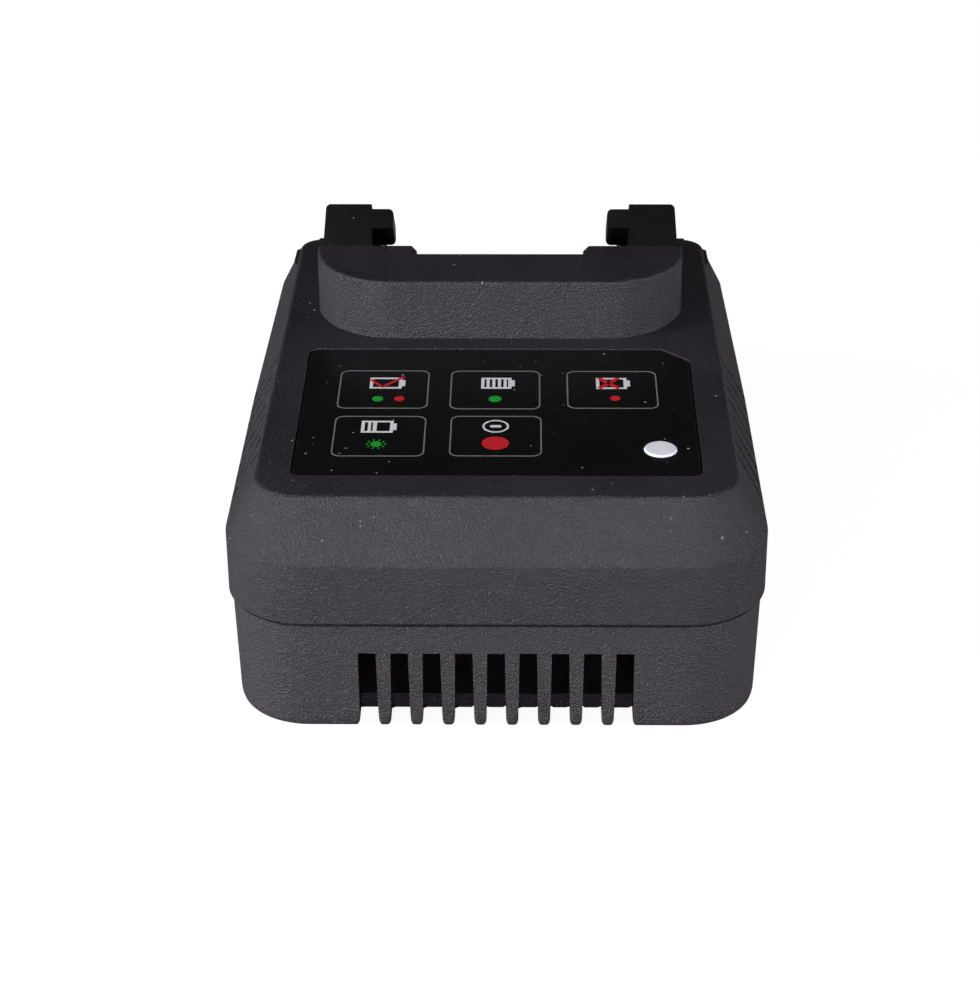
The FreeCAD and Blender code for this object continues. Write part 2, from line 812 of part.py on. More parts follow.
def make_transformer():
    window = "(core_width - 3 * core_leg) / 2"
    core = box("core_block", "core_x", "core_y", board_top, "core_width", "core_depth", "core_height")
    windows = [box(f"core_window_{k}", f"core_x {sign} (core_leg + {window}) / 2", "core_y",
                   f"{board_top} + core_leg", window, "core_depth + 2", "core_height - core_leg * 2")
               for k, sign in enumerate("-+")]
    finish(cut("core_cut", core, compound("core_windows", windows)), "transformer_core")
    coil = box("coil_block", "core_x", "core_y", f"{board_top} + core_leg + winding_gap",
               f"core_leg + 2 * {window} - 2 * winding_gap", "core_depth + 2 * winding_bulge",
               "core_height - 2 * core_leg - 2 * winding_gap")
    leg = box("coil_leg", "core_x", "core_y", board_top, "core_leg + 2 * winding_gap",
              "core_depth + 2 * winding_gap", "core_height")
    finish(cut("coil", coil, leg), "transformer_winding")


def make_capacitors():
    can = cylinder("input_can", "input_cap_x", "input_cap_y", board_top, "input_cap_radius", "input_cap_height")
    rounded = doc.addObject("Part::Fillet", "input_can_round")
    rounded.Base = can
    doc.recompute()
    rounded.Edges = [(k, 0.8, 0.8) for k, e in enumerate(can.Shape.Edges, start=1) if len(e.Vertexes) == 1]
    finish(rounded, "input_capacitor")
    cans = [cylinder(f"output_can_{k}", f"output_cap_x + {k} * output_cap_pitch", "output_cap_y", board_top,
                     "output_cap_radius", "output_cap_height") for k in range(2)]
    finish(compound("output_cans", cans), "output_capacitors")
    finish(box("film_cap", "choke_x + choke_radius + film_cap_length / 2 + 3", "choke_y", board_top,
               "film_cap_length", "film_cap_width", "film_cap_height"), "film_capacitor")


def make_heat_sink():
    plate = box("sink_back", "sink_x", "sink_y", board_top, "sink_plate", "sink_length", "sink_height")
    count = 7
    fins = [box(f"fin_{k}", "sink_x + (sink_plate + fin_reach) / 2 - 0.1",
                f"sink_y + {k - (count - 1) / 2} * fin_pitch", board_top,
                "fin_reach + 0.2", "fin_thickness", "sink_height") for k in range(count)]
    finish(fuse("sink", [plate] + fins), "heat_sink")
    for name, sign in (("switching_transistor", "-"), ("output_rectifier", "+")):
        finish(box(f"{name}_body", "sink_x - (sink_plate + package_thickness) / 2",
                   f"sink_y {sign} package_offset", f"{board_top}", "package_thickness", "package_width",
                   "package_height"), name)


def make_line_parts():
    ring = cylinder("choke_ring", "choke_x", "choke_y", board_top, "choke_radius", "choke_height")
    bore = cylinder("choke_bore", "choke_x", "choke_y", f"{board_top} - 1", "choke_hole", "choke_height + 2")
    finish(cut("choke", ring, bore), "line_choke")
    finish(cylinder("fuse_tube", "-fuse_radius - board_half_width + 6", "board_back - 12 - fuse_length",
                    f"{board_top} + fuse_radius", "fuse_radius", "fuse_length", along="y"), "fuse")
    finish(box("bridge", "input_cap_x", "input_cap_y - input_cap_radius - bridge_thickness", board_top,
               "bridge_length", "bridge_thickness", "bridge_height"), "bridge_rectifier")
    finish(box("chip", "output_cap_x - 20", "output_cap_y", board_top, "chip_length", "chip_width",
               "chip_height"), "control_chip")
    lamp = cylinder("lamp_base", "lens_x", "lens_y", board_top, "led_radius", "led_height - led_radius")
    dome = doc.addObject("Part::Sphere", "lamp_dome")
    bind(dome, Radius="led_radius")
    place(dome, "lens_x", "lens_y", f"{board_top} + led_height - led_radius")
    finish(fuse("lamp", [lamp, dome]), "status_led")


def make_inlet():
    length = "inlet_length"
    back = "body_length / 2 - base_step"
    block = box("inlet_block", "0", f"{back} - ({length}) / 2", "inlet_centre_z - inlet_height / 2",
                "inlet_width", length, "inlet_height")
    flange = box("inlet_flange", "0", f"{back} - base_draft - wall - 0.3 - inlet_flange / 2",
                 "inlet_centre_z - inlet_height / 2 - inlet_flange",
                 "inlet_width + 2 * inlet_flange", "inlet_flange", "inlet_height + 2 * inlet_flange")
    body = fuse("inlet_solid", [block, flange])
    tools = []
    for k, sign in enumerate(("-", "+")):
        tools.append(cylinder(f"inlet_cavity_{k}", f"{sign}pin_spacing / 2", f"{back} - inlet_cavity_depth",
                              "inlet_centre_z", "inlet_cavity_radius", "inlet_cavity_depth + 1", along="y"))
    tools.append(box("inlet_bridge", "0", f"{back} + 0.5 - inlet_cavity_depth / 2",
                     "inlet_centre_z - inlet_cavity_radius * 0.8", "pin_spacing", "inlet_cavity_depth + 1",
                     "inlet_cavity_radius * 1.6"))
    for k, sign in enumerate(("-", "+")):
        tools.append(cylinder(f"pin_bore_{k}", f"{sign}pin_spacing / 2", f"{back} - inlet_length - 1",
                              "inlet_centre_z", "pin_radius", "inlet_length", along="y"))
    finish(cut("inlet", body, fuse("inlet_tools", tools)), "inlet_socket")
    pins = [cylinder(f"inlet_pin_{k}", f"{sign}pin_spacing / 2",
                     f"{back} - inlet_cavity_depth + pin_length - inlet_length - 1", "inlet_centre_z",
                     "pin_radius", "inlet_length + 1", along="y") for k, sign in enumerate(("-", "+"))]
    finish(compound("inlet_pin_pair", pins), "inlet_pins")


def make_screws():
    screws = []
    for k, (x, y) in enumerate(column_spots):
        head = cylinder(f"case_head_{k}", x, y, "screw_seat - screw_head_height", "screw_head_radius",
                        "screw_head_height")
        shank = cylinder(f"case_shank_{k}", x, y, "screw_seat", "screw_radius",
                         "seam_height + seam_gap + pilot_depth - 2 - screw_seat")
        screws.append(fuse(f"case_screw_{k}", [head, shank]))
    finish(compound("case_screw_set", screws), "case_screws")
    screws = []
    for k, (x, y) in enumerate(standoff_spots):
        head = cylinder(f"board_head_{k}", x, y, board_top, "screw_head_radius", "screw_head_height * 0.8")
        shank = cylinder(f"board_shank_{k}", x, y, "foot_height + wall", "screw_radius",
                         f"{board_top} - foot_height - wall")
        screws.append(fuse(f"board_screw_{k}", [head, shank]))
    finish(compound("board_screw_set", screws), "board_screws")
    feet = [cylinder(f"foot_{k}", x, y, "0", "foot_radius", "foot_height + foot_recess")
            for k, (x, y) in enumerate(foot_spots)]
    finish(compound("foot_set", feet), "rubber_feet")


base = make_base_cover()
add_base_details(base)
cover = make_top_cover()
hollow_top_cover(cover)
add_top_details(cover)
finish(cover, "top_cover")
make_battery_dock()
make_terminals()
make_label_panel()
make_light_pipe()
make_board()
make_transformer()
make_capacitors()
make_heat_sink()
make_line_parts()
make_inlet()
make_screws()
doc.recompute()

broken = [item.Name for item in doc.Objects if "Invalid" in item.State or "Error" in item.State]
if broken:
    raise RuntimeError(f"objects failed to recompute: {broken}")
for item in subparts:
    if item.Shape.isNull() or not item.Shape.isValid():
        raise RuntimeError(f"{item.Label} has no valid shape")

os.makedirs("parts", exist_ok=True)
for item in subparts:
    item.Shape.exportStep(f"parts/{item.Label}.step")
    print(item.Label, len(item.Shape.Solids), round(item.Shape.Volume, 1))
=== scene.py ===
import math

import bmesh
import bpy
from mathutils import Matrix, Vector


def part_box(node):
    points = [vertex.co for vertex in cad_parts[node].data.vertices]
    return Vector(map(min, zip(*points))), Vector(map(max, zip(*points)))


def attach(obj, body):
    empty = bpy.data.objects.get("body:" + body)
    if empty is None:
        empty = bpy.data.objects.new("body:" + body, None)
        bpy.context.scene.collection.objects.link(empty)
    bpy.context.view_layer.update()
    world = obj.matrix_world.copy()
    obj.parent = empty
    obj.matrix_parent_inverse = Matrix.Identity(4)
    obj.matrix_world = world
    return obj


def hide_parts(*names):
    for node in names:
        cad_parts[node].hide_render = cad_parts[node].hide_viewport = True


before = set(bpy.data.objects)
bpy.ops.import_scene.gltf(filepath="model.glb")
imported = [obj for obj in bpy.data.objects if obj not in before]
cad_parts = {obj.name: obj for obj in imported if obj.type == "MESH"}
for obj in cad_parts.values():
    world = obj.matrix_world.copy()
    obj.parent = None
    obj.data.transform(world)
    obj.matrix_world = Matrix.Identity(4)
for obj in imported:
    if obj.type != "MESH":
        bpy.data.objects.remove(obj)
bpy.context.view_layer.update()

scene = bpy.context.scene
mm = 0.001

# the colour sockets of a Mix node, by index, because several of its sockets share a name
mixFirst, mixSecond, mixResult = 6, 7, 2


# small helpers

def makePiece(name, mesh, material):
    piece = bpy.data.objects.new(name, mesh)
    scene.collection.objects.link(piece)
    mesh.materials.clear()
    mesh.materials.append(material)
    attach(piece, "root")
    return piece


def areaLamp(name, place, size, power):
    lampData = bpy.data.lights.new(name, "AREA")
    lampData.shape = "RECTANGLE"
    lampData.size, lampData.size_y = size
    lampData.energy = power
    lamp = bpy.data.objects.new(name, lampData)
    scene.collection.objects.link(lamp)
    lamp.location = place
    aim = Vector(studio["aim"]) - Vector(place)
    lamp.rotation_euler = aim.to_track_quat("-Z", "Y").to_euler()


def rectangle(left, front, right, back):
    return [(left, front), (right, front), (right, back), (left, back)]


def roundedRectangle(left, front, right, back, radius, steps=6):
    points = []
    corners = ((right - radius, front + radius, -90), (right - radius, back - radius, 0),
               (left + radius, back - radius, 90), (left + radius, front + radius, 180))
    for x, y, start in corners:
        for step in range(steps + 1):
            angle = math.radians(start + 90 * step / steps)
            points.append((x + radius * math.cos(angle), y + radius * math.sin(angle)))
    return points


# camera, backdrop and light

view = {
    "place": (5.289, -450.78, 266.205),
    "yaw": 0.908,
    "pitch": 29.17,
    "roll": -0.314,
    "lens": 96.96,
    "sensor": 36.0,
    "nearest": 0.01,
}

cameraData = bpy.data.cameras.new("camera")
cameraData.sensor_fit = "HORIZONTAL"
cameraData.sensor_width = view["sensor"]
cameraData.lens = view["lens"]
cameraData.clip_start = view["nearest"]
camera = bpy.data.objects.new("camera", cameraData)
scene.collection.objects.link(camera)
camera.matrix_world = (
    Matrix.Translation(Vector(view["place"]) * mm)
    @ Matrix.Rotation(math.radians(view["yaw"]), 4, "Z")
    @ Matrix.Rotation(math.radians(90 - view["pitch"]), 4, "X")
    @ Matrix.Rotation(math.radians(view["roll"]), 4, "Z")
)
scene.camera = camera
scene.view_settings.view_transform = "Standard"

studio = {
    "aim": (0.0, 0.0, 0.03),
    "floorHalf": 3.0,
    "floorColour": 0.2,
    "floorSeenColour": 0.9,
    "floorGlow": 0.86,
    "floorGlowStrength": 1.08,
    "worldDiffuse": 0.04,
    "worldGlossy": 0.03,
}

world = bpy.data.worlds.new("studio")
scene.world = world
world.use_nodes = True
nodes, links = world.node_tree.nodes, world.node_tree.links
nodes.clear()
worldOut = nodes.new("ShaderNodeOutputWorld")
ambient = nodes.new("ShaderNodeBackground")
ambient.inputs["Strength"].default_value = studio["worldDiffuse"]
dimGloss = nodes.new("ShaderNodeBackground")
dimGloss.inputs["Strength"].default_value = studio["worldGlossy"]
white = nodes.new("ShaderNodeBackground")
for background in (ambient, dimGloss, white):
    background.inputs["Color"].default_value = (1, 1, 1, 1)
rays = nodes.new("ShaderNodeLightPath")
glossMix = nodes.new("ShaderNodeMixShader")
whiteMix = nodes.new("ShaderNodeMixShader")
seenRays = nodes.new("ShaderNodeMath")
seenRays.operation = "MAXIMUM"
links.new(rays.outputs["Is Camera Ray"], seenRays.inputs[0])
links.new(rays.outputs["Is Transmission Ray"], seenRays.inputs[1])
links.new(rays.outputs["Is Glossy Ray"], glossMix.inputs["Fac"])
links.new(ambient.outputs[0], glossMix.inputs[1])
links.new(dimGloss.outputs[0], glossMix.inputs[2])
links.new(seenRays.outputs[0], whiteMix.inputs["Fac"])
links.new(glossMix.outputs[0], whiteMix.inputs[1])
links.new(white.outputs[0], whiteMix.inputs[2])
links.new(whiteMix.outputs[0], worldOut.inputs["Surface"])

floorMaterial = bpy.data.materials.new("paleFloor")
floorMaterial.use_nodes = True
nodes, links = floorMaterial.node_tree.nodes, floorMaterial.node_tree.links
nodes.clear()
floorOut = nodes.new("ShaderNodeOutputMaterial")
floorPaint = nodes.new("ShaderNodeBsdfDiffuse")
floorGlow = nodes.new("ShaderNodeEmission")
floorGlow.inputs["Strength"].default_value = studio["floorGlowStrength"]
floorTone = nodes.new("ShaderNodeMix")
floorTone.data_type = "RGBA"
floorTone.inputs[mixFirst].default_value = (studio["floorColour"],) * 3 + (1,)
floorTone.inputs[mixSecond].default_value = (studio["floorSeenColour"],) * 3 + (1,)
links.new(floorTone.outputs[mixResult], floorPaint.inputs["Color"])
floorMix = nodes.new("ShaderNodeMixShader")
floorRays = nodes.new("ShaderNodeLightPath")
glowShare = nodes.new("ShaderNodeMath")
glowShare.operation = "MULTIPLY"
glowShare.inputs[1].default_value = studio["floorGlow"]
links.new(floorRays.outputs["Is Camera Ray"], glowShare.inputs[0])
links.new(floorRays.outputs["Is Camera Ray"], floorTone.inputs["Factor"])
links.new(glowShare.outputs[0], floorMix.inputs["Fac"])
links.new(floorPaint.outputs[0], floorMix.inputs[1])
links.new(floorGlow.outputs[0], floorMix.inputs[2])
links.new(floorMix.outputs[0], floorOut.inputs["Surface"])

floorMesh = bpy.data.meshes.new("floor")
half = studio["floorHalf"]
floorMesh.from_pydata(
    [(-half, -half, 0), (half, -half, 0), (half, half, 0), (-half, half, 0)], [], [(0, 1, 2, 3)]
)
floorMesh.materials.append(floorMaterial)
floor = bpy.data.objects.new("floor", floorMesh)
scene.collection.objects.link(floor)

lamps = {
    "frontSoftbox": {"place": (-0.05, -1.05, 0.40), "size": (1.0, 0.45), "power": 7.8},
    "leftSoftbox": {"place": (-0.95, -0.4, 0.28), "size": (0.5, 0.5), "power": 22.0},
    "rightSoftbox": {"place": (0.95, -0.35, 0.28), "size": (0.5, 0.5), "power": 11.5},
    "overheadSoftbox": {"place": (0.0, -0.1, 1.2), "size": (0.8, 0.6), "power": 0.35},
}
for lampName, lamp in lamps.items():
    areaLamp(lampName, **lamp)
print("stage: camera, floor and light")


# shared effects

def newGroup(name, inputs, outputs):
    group = bpy.data.node_groups.new(name, "ShaderNodeTree")
    for socketName, kind, value in inputs:
        socket = group.interface.new_socket(socketName, in_out="INPUT", socket_type=kind)
        socket.default_value = value
    for socketName, kind in outputs:
        group.interface.new_socket(socketName, in_out="OUTPUT", socket_type=kind)
    source = group.nodes.new("NodeGroupInput")
    result = group.nodes.new("NodeGroupOutput")
    return group, source, result


def mathNode(tree, operation, first, second=None, clamp=False):
    node = tree.nodes.new("ShaderNodeMath")
    node.operation = operation
    node.use_clamp = clamp
    for index, value in enumerate((first, second)):
        if value is None:
            continue
        if hasattr(value, "links"):
            tree.links.new(value, node.inputs[index])
        else:
            node.inputs[index].default_value = value
    return node.outputs[0]


def mapRange(tree, value, low, high, newLow=0.0, newHigh=1.0):
    node = tree.nodes.new("ShaderNodeMapRange")
    tree.links.new(value, node.inputs["Value"])
    for name, number in (("From Min", low), ("From Max", high), ("To Min", newLow), ("To Max", newHigh)):
        if hasattr(number, "links"):
            tree.links.new(number, node.inputs[name])
        else:
            node.inputs[name].default_value = number
    return node.outputs["Result"]


def noiseNode(tree, place, scale, detail=2.0, roughness=0.5):
    node = tree.nodes.new("ShaderNodeTexNoise")
    tree.links.new(place, node.inputs["Vector"])
    for name, number in (("Scale", scale), ("Detail", detail), ("Roughness", roughness)):
        if hasattr(number, "links"):
            tree.links.new(number, node.inputs[name])
        else:
            node.inputs[name].default_value = number
    return node.outputs["Fac"]


def sparkGrainGroup():
    # spark-eroded mould texture: pits of two sizes, plus slow patches where it is rubbed smoother
    group, source, result = newGroup(
        "sparkGrain",
        [
            ("Pit Scale", "NodeSocketFloat", 1700.0),
            ("Fine Share", "NodeSocketFloat", 0.4),
            ("Patch Scale", "NodeSocketFloat", 60.0),
        ],
        [("Height", "NodeSocketFloat"), ("Patches", "NodeSocketFloat"), ("Speckle", "NodeSocketFloat")],
    )
    place = group.nodes.new("ShaderNodeTexCoord").outputs["Object"]
    pits = noiseNode(group, place, source.outputs["Pit Scale"], 2.0, 0.6)
    fineScale = mathNode(group, "MULTIPLY", source.outputs["Pit Scale"], 2.7)
    fine = noiseNode(group, place, fineScale, 1.0)
    fineHeight = mathNode(group, "MULTIPLY", fine, source.outputs["Fine Share"])
    height = mathNode(group, "ADD", mapRange(group, pits, 0.3, 0.7), fineHeight)
    patches = mapRange(group, noiseNode(group, place, source.outputs["Patch Scale"], 3.0), 0.35, 0.65)
    speckle = mapRange(group, pits, 0.5, 0.75)
    group.links.new(height, result.inputs["Height"])
    group.links.new(patches, result.inputs["Patches"])
    group.links.new(speckle, result.inputs["Speckle"])
    return group


def dustGroup():
    # pale specks that settle on faces looking up, each cell of a grid holding one or none
    group, source, result = newGroup(
        "dust",
        [
            ("Cell Scale", "NodeSocketFloat", 900.0),
            ("Speck Size", "NodeSocketFloat", 0.22),
            ("Share", "NodeSocketFloat", 0.12),
            ("Upward Only", "NodeSocketFloat", 0.7),
        ],
        [("Mask", "NodeSocketFloat")],
    )
    coordinates = group.nodes.new("ShaderNodeTexCoord")
    cells = group.nodes.new("ShaderNodeTexVoronoi")
    group.links.new(coordinates.outputs["Object"], cells.inputs["Vector"])
    group.links.new(source.outputs["Cell Scale"], cells.inputs["Scale"])
    chance = group.nodes.new("ShaderNodeSeparateColor")
    group.links.new(cells.outputs["Color"], chance.inputs[0])
    size = mathNode(group, "MULTIPLY", chance.outputs[1], source.outputs["Speck Size"])
    inside = mathNode(group, "LESS_THAN", cells.outputs["Distance"], size)
    chosen = mathNode(group, "LESS_THAN", chance.outputs[0], source.outputs["Share"])
    clumps = mapRange(group, noiseNode(group, coordinates.outputs["Object"], 70.0, 2.0), 0.42, 0.6)
    speck = mathNode(group, "MULTIPLY", mathNode(group, "MULTIPLY", inside, chosen), clumps)
    facing = group.nodes.new("ShaderNodeSeparateXYZ")
    group.links.new(coordinates.outputs["Normal"], facing.inputs[0])
    up = mapRange(group, facing.outputs["Z"], 0.2, 0.9)
    keep = mathNode(group, "SUBTRACT", 1.0, source.outputs["Upward Only"])
    upward = mathNode(group, "ADD", mathNode(group, "MULTIPLY", up, source.outputs["Upward Only"]), keep)
    group.links.new(mathNode(group, "MULTIPLY", speck, upward), result.inputs["Mask"])
    return group


def edgeWearAndHighlightGroup():
    # where the face turns within a small radius, broken up so that it isn't a drawn line; it marks worn edges
    # and also places a painted highlight along edges
    group, source, result = newGroup(
        "edgeWearAndHighlight",
        [("Radius", "NodeSocketFloat", 0.0004), ("Break Up", "NodeSocketFloat", 900.0)],
        [("Mask", "NodeSocketFloat")],
    )
    softened = group.nodes.new("ShaderNodeBevel")
    softened.samples = 4
    group.links.new(source.outputs["Radius"], softened.inputs["Radius"])
    geometry = group.nodes.new("ShaderNodeNewGeometry")
    alike = group.nodes.new("ShaderNodeVectorMath")
    alike.operation = "DOT_PRODUCT"
    group.links.new(softened.outputs[0], alike.inputs[0])
    group.links.new(geometry.outputs["Normal"], alike.inputs[1])
    turned = mapRange(group, alike.outputs["Value"], 0.995, 0.9)
    place = group.nodes.new("ShaderNodeTexCoord").outputs["Object"]
    broken = mapRange(group, noiseNode(group, place, source.outputs["Break Up"], 3.0), 0.4, 0.62)
    group.links.new(mathNode(group, "MULTIPLY", turned, broken, clamp=True), result.inputs["Mask"])
    return group


sparkGrain, dust, edgeWearAndHighlight = sparkGrainGroup(), dustGroup(), edgeWearAndHighlightGroup()


def groupNode(tree, group, **values):
    node = tree.nodes.new("ShaderNodeGroup")
    node.node_tree = group
    for name, value in values.items():
        node.inputs[name.replace("_", " ")].default_value = value
    return node


def blendColour(tree, share, first, second):
    node = tree.nodes.new("ShaderNodeMix")
    node.data_type = "RGBA"
    tree.links.new(share, node.inputs["Factor"])
    for index, colour in ((mixFirst, first), (mixSecond, second)):
        if hasattr(colour, "links"):
            tree.links.new(colour, node.inputs[index])
        else:
            node.inputs[index].default_value = (*colour, 1)
    return node.outputs[mixResult]


def bumpNode(tree, height, distance, strength=1.0):
    node = tree.nodes.new("ShaderNodeBump")
    node.inputs["Strength"].default_value = strength
    node.inputs["Distance"].default_value = distance
    tree.links.new(height, node.inputs["Height"])
    return node.outputs["Normal"]


def newMaterial(name, **sockets):
    material = bpy.data.materials.new(name)
    material.use_nodes = True
    shader = material.node_tree.nodes["Principled BSDF"]
    for socket, value in sockets.items():
        if isinstance(value, tuple):
            value = (*value, 1)
        shader.inputs[socket.replace("_", " ")].default_value = value
    return material, material.node_tree, shader


# materials

plasticLook = {"speckle": 0.9, "wearAndHighlight": 0.6, "dustColour": (0.32, 0.31, 0.3), "roughSpread": 0.05}


def mouldedPlastic(name, colour, paleFactor, pitScale, pitDepth, roughness, dusty, specular=0.5):
    look = plasticLook
    material, tree, shader = newMaterial(name, Specular_IOR_Level=specular)
    grain = groupNode(tree, sparkGrain, Pit_Scale=pitScale)
    wearAndHighlight = groupNode(tree, edgeWearAndHighlight)
    specks = groupNode(tree, dust, Share=dusty)
    pale = tuple(min(1.0, channel * paleFactor) for channel in colour)
    speckled = mathNode(tree, "MULTIPLY", grain.outputs["Speckle"], look["speckle"])
    tinted = blendColour(tree, speckled, colour, pale)
    # edges are blended towards the pale tone: partly worn edges, partly a painted highlight along them
    wearAndHighlightShare = mathNode(tree, "MULTIPLY", wearAndHighlight.outputs["Mask"], look["wearAndHighlight"])
    wornAndHighlit = blendColour(tree, wearAndHighlightShare, tinted, pale)
    dusted = blendColour(tree, specks.outputs["Mask"], wornAndHighlit, look["dustColour"])
    tree.links.new(dusted, shader.inputs["Base Color"])
    smoothest, roughest = roughness - look["roughSpread"], roughness + look["roughSpread"]
    rough = mapRange(tree, grain.outputs["Patches"], 0.0, 1.0, smoothest, roughest)
    tree.links.new(rough, shader.inputs["Roughness"])
    tree.links.new(bumpNode(tree, grain.outputs["Height"], pitDepth), shader.inputs["Normal"])
    return material


casePlastic = mouldedPlastic(
    "casePlastic", (0.0068, 0.0050, 0.0088), paleFactor=4.4, pitScale=2800.0, pitDepth=0.00018,
    roughness=0.5, dusty=0.16,
)
lowerPlastic = mouldedPlastic(
    "lowerPlastic", (0.0086, 0.0066, 0.0108), paleFactor=4.2, pitScale=2800.0, pitDepth=0.00018,
    roughness=0.5, dusty=0.12, specular=0.6,
)
dockPlastic = mouldedPlastic(
    "dockPlastic", (0.0030, 0.0030, 0.0031), paleFactor=2.0, pitScale=2600.0, pitDepth=0.000006,
    roughness=0.24, dusty=0.05,
)
terminalPlastic = mouldedPlastic(
    "terminalPlastic", (0.012, 0.012, 0.012), paleFactor=1.8, pitScale=2600.0, pitDepth=0.00002,
    roughness=0.45, dusty=0.04,
)
inletPlastic = mouldedPlastic(
    "inletPlastic", (0.010, 0.010, 0.010), paleFactor=1.8, pitScale=2600.0, pitDepth=0.00002,
    roughness=0.45, dusty=0.04,
)
packagePlastic = mouldedPlastic(
    "packagePlastic", (0.015, 0.015, 0.015), paleFactor=1.6, pitScale=2200.0, pitDepth=0.00002,
    roughness=0.5, dusty=0.0,
)
rubber = mouldedPlastic(
    "rubber", (0.014, 0.014, 0.014), paleFactor=1.6, pitScale=1200.0, pitDepth=0.00003,
    roughness=0.75, dusty=0.05, specular=0.3,
)


filmLook = {
    "film": (0.0022, 0.0022, 0.0023),
    # the edge colour is a painted highlight line along the label's edge
    "edge": (0.09, 0.09, 0.09),
    "edgeShare": 0.5,
    "speck": (0.3, 0.29, 0.28),
    "smearScale": 45.0,
    "roughness": (0.2, 0.34),
    "rippleScale": 2400.0,
    "rippleDepth": 0.000004,
}


def labelFilm():
    look = filmLook
    material, tree, shader = newMaterial("labelFilm", Specular_IOR_Level=0.35)
    specks = groupNode(tree, dust, Cell_Scale=1000.0, Speck_Size=0.24, Share=0.1)
    wearAndHighlight = groupNode(tree, edgeWearAndHighlight, Radius=0.0003, Break_Up=1400.0)
    # the label's edge is blended to a paler grey, which is a painted highlight line broken up along it
    wearAndHighlightShare = mathNode(tree, "MULTIPLY", wearAndHighlight.outputs["Mask"], look["edgeShare"])
    edged = blendColour(tree, wearAndHighlightShare, look["film"], look["edge"])
    dusted = blendColour(tree, specks.outputs["Mask"], edged, look["speck"])
    tree.links.new(dusted, shader.inputs["Base Color"])
    place = tree.nodes.new("ShaderNodeTexCoord").outputs["Object"]
    smears = noiseNode(tree, place, look["smearScale"], 4.0)
    tree.links.new(mapRange(tree, smears, 0.3, 0.7, *look["roughness"]), shader.inputs["Roughness"])
    ripple = noiseNode(tree, place, look["rippleScale"], 1.0)
    tree.links.new(bumpNode(tree, ripple, look["rippleDepth"]), shader.inputs["Normal"])
    return material


def printedInk(name, colour, faded):
    material, tree, shader = newMaterial(name, Specular_IOR_Level=0.3)
    place = tree.nodes.new("ShaderNodeTexCoord").outputs["Object"]
    mottle = mapRange(tree, noiseNode(tree, place, 2600.0, 2.0), 0.35, 0.7)
    tree.links.new(blendColour(tree, mottle, colour, faded), shader.inputs["Base Color"])
    tree.links.new(mapRange(tree, mottle, 0.0, 1.0, 0.4, 0.5), shader.inputs["Roughness"])
    return material


def milkyLens():
    material, tree, shader = newMaterial(
        "milkyLens", Subsurface_Weight=0.25, Subsurface_Scale=0.001, Coat_Weight=0.4, Coat_Roughness=0.12
    )
    place = tree.nodes.new("ShaderNodeTexCoord").outputs["Object"]
    cloud = mapRange(tree, noiseNode(tree, place, 500.0, 2.0), 0.3, 0.7)
    milky = blendColour(tree, cloud, (0.66, 0.67, 0.74), (0.74, 0.75, 0.82))
    tree.links.new(milky, shader.inputs["Base Color"])
    tree.links.new(mapRange(tree, cloud, 0.0, 1.0, 0.28, 0.36), shader.inputs["Roughness"])
    return material


def metalFinish(name, colour, roughness, scratchScale, stretch):
    material, tree, shader = newMaterial(name, Metallic=1.0)
    coordinates = tree.nodes.new("ShaderNodeTexCoord")
    mapping = tree.nodes.new("ShaderNodeMapping")
    mapping.inputs["Scale"].default_value = stretch
    tree.links.new(coordinates.outputs["Object"], mapping.inputs["Vector"])
    brushed = mapRange(tree, noiseNode(tree, mapping.outputs[0], scratchScale, 3.0), 0.3, 0.7)
    dull = tuple(channel * 0.75 for channel in colour)
    tree.links.new(blendColour(tree, brushed, dull, colour), shader.inputs["Base Color"])
    tree.links.new(mapRange(tree, brushed, 0.0, 1.0, roughness + 0.12, roughness), shader.inputs["Roughness"])
    tree.links.new(bumpNode(tree, brushed, 0.000004), shader.inputs["Normal"])
    return material


def insidePart(name, colour, second, scale, roughness, depth=0.00001, **sockets):
    material, tree, shader = newMaterial(name, **sockets)
    place = tree.nodes.new("ShaderNodeTexCoord").outputs["Object"]
    mottle = mapRange(tree, noiseNode(tree, place, scale, 3.0), 0.35, 0.65)
    tree.links.new(blendColour(tree, mottle, colour, second), shader.inputs["Base Color"])
    tree.links.new(mapRange(tree, mottle, 0.0, 1.0, roughness, roughness + 0.1), shader.inputs["Roughness"])
    tree.links.new(bumpNode(tree, mottle, depth), shader.inputs["Normal"])
    return material


finishes = {
    "base_cover": lowerPlastic,
    "top_cover": casePlastic,
    "battery_dock": dockPlastic,
    "terminal_block": terminalPlastic,
    "label_panel": labelFilm(),
    "light_pipe": milkyLens(),
    "inlet_socket": inletPlastic,
    "rubber_feet": rubber,
}
bladeTin = metalFinish("bladeTin", (0.80, 0.74, 0.58), 0.22, 900.0, (1.0, 0.1, 1.0))
for blade in ("positive_blade", "data_blade", "thermistor_blade", "negative_blade"):
    finishes[blade] = bladeTin
finishes["inlet_pins"] = metalFinish("pinNickel", (0.80, 0.79, 0.76), 0.2, 900.0, (1.0, 0.1, 1.0))
screwSteel = metalFinish("screwSteel", (0.30, 0.30, 0.31), 0.35, 1400.0, (1.0, 1.0, 1.0))
finishes["case_screws"] = finishes["board_screws"] = screwSteel
finishes["heat_sink"] = metalFinish("sinkAluminium", (0.74, 0.75, 0.76), 0.35, 700.0, (1.0, 1.0, 0.06))
finishes["circuit_board"] = insidePart("boardLaminate", (0.03, 0.13, 0.05), (0.05, 0.19, 0.07), 300.0, 0.3)
finishes["transformer_core"] = insidePart("ferrite", (0.045, 0.045, 0.05), (0.07, 0.07, 0.075), 1200.0, 0.6)
finishes["transformer_winding"] = insidePart("windingTape", (0.72, 0.56, 0.07), (0.8, 0.66, 0.12), 200.0, 0.3)
sleeve = insidePart("capacitorSleeve", (0.02, 0.02, 0.05), (0.03, 0.03, 0.07), 400.0, 0.25)
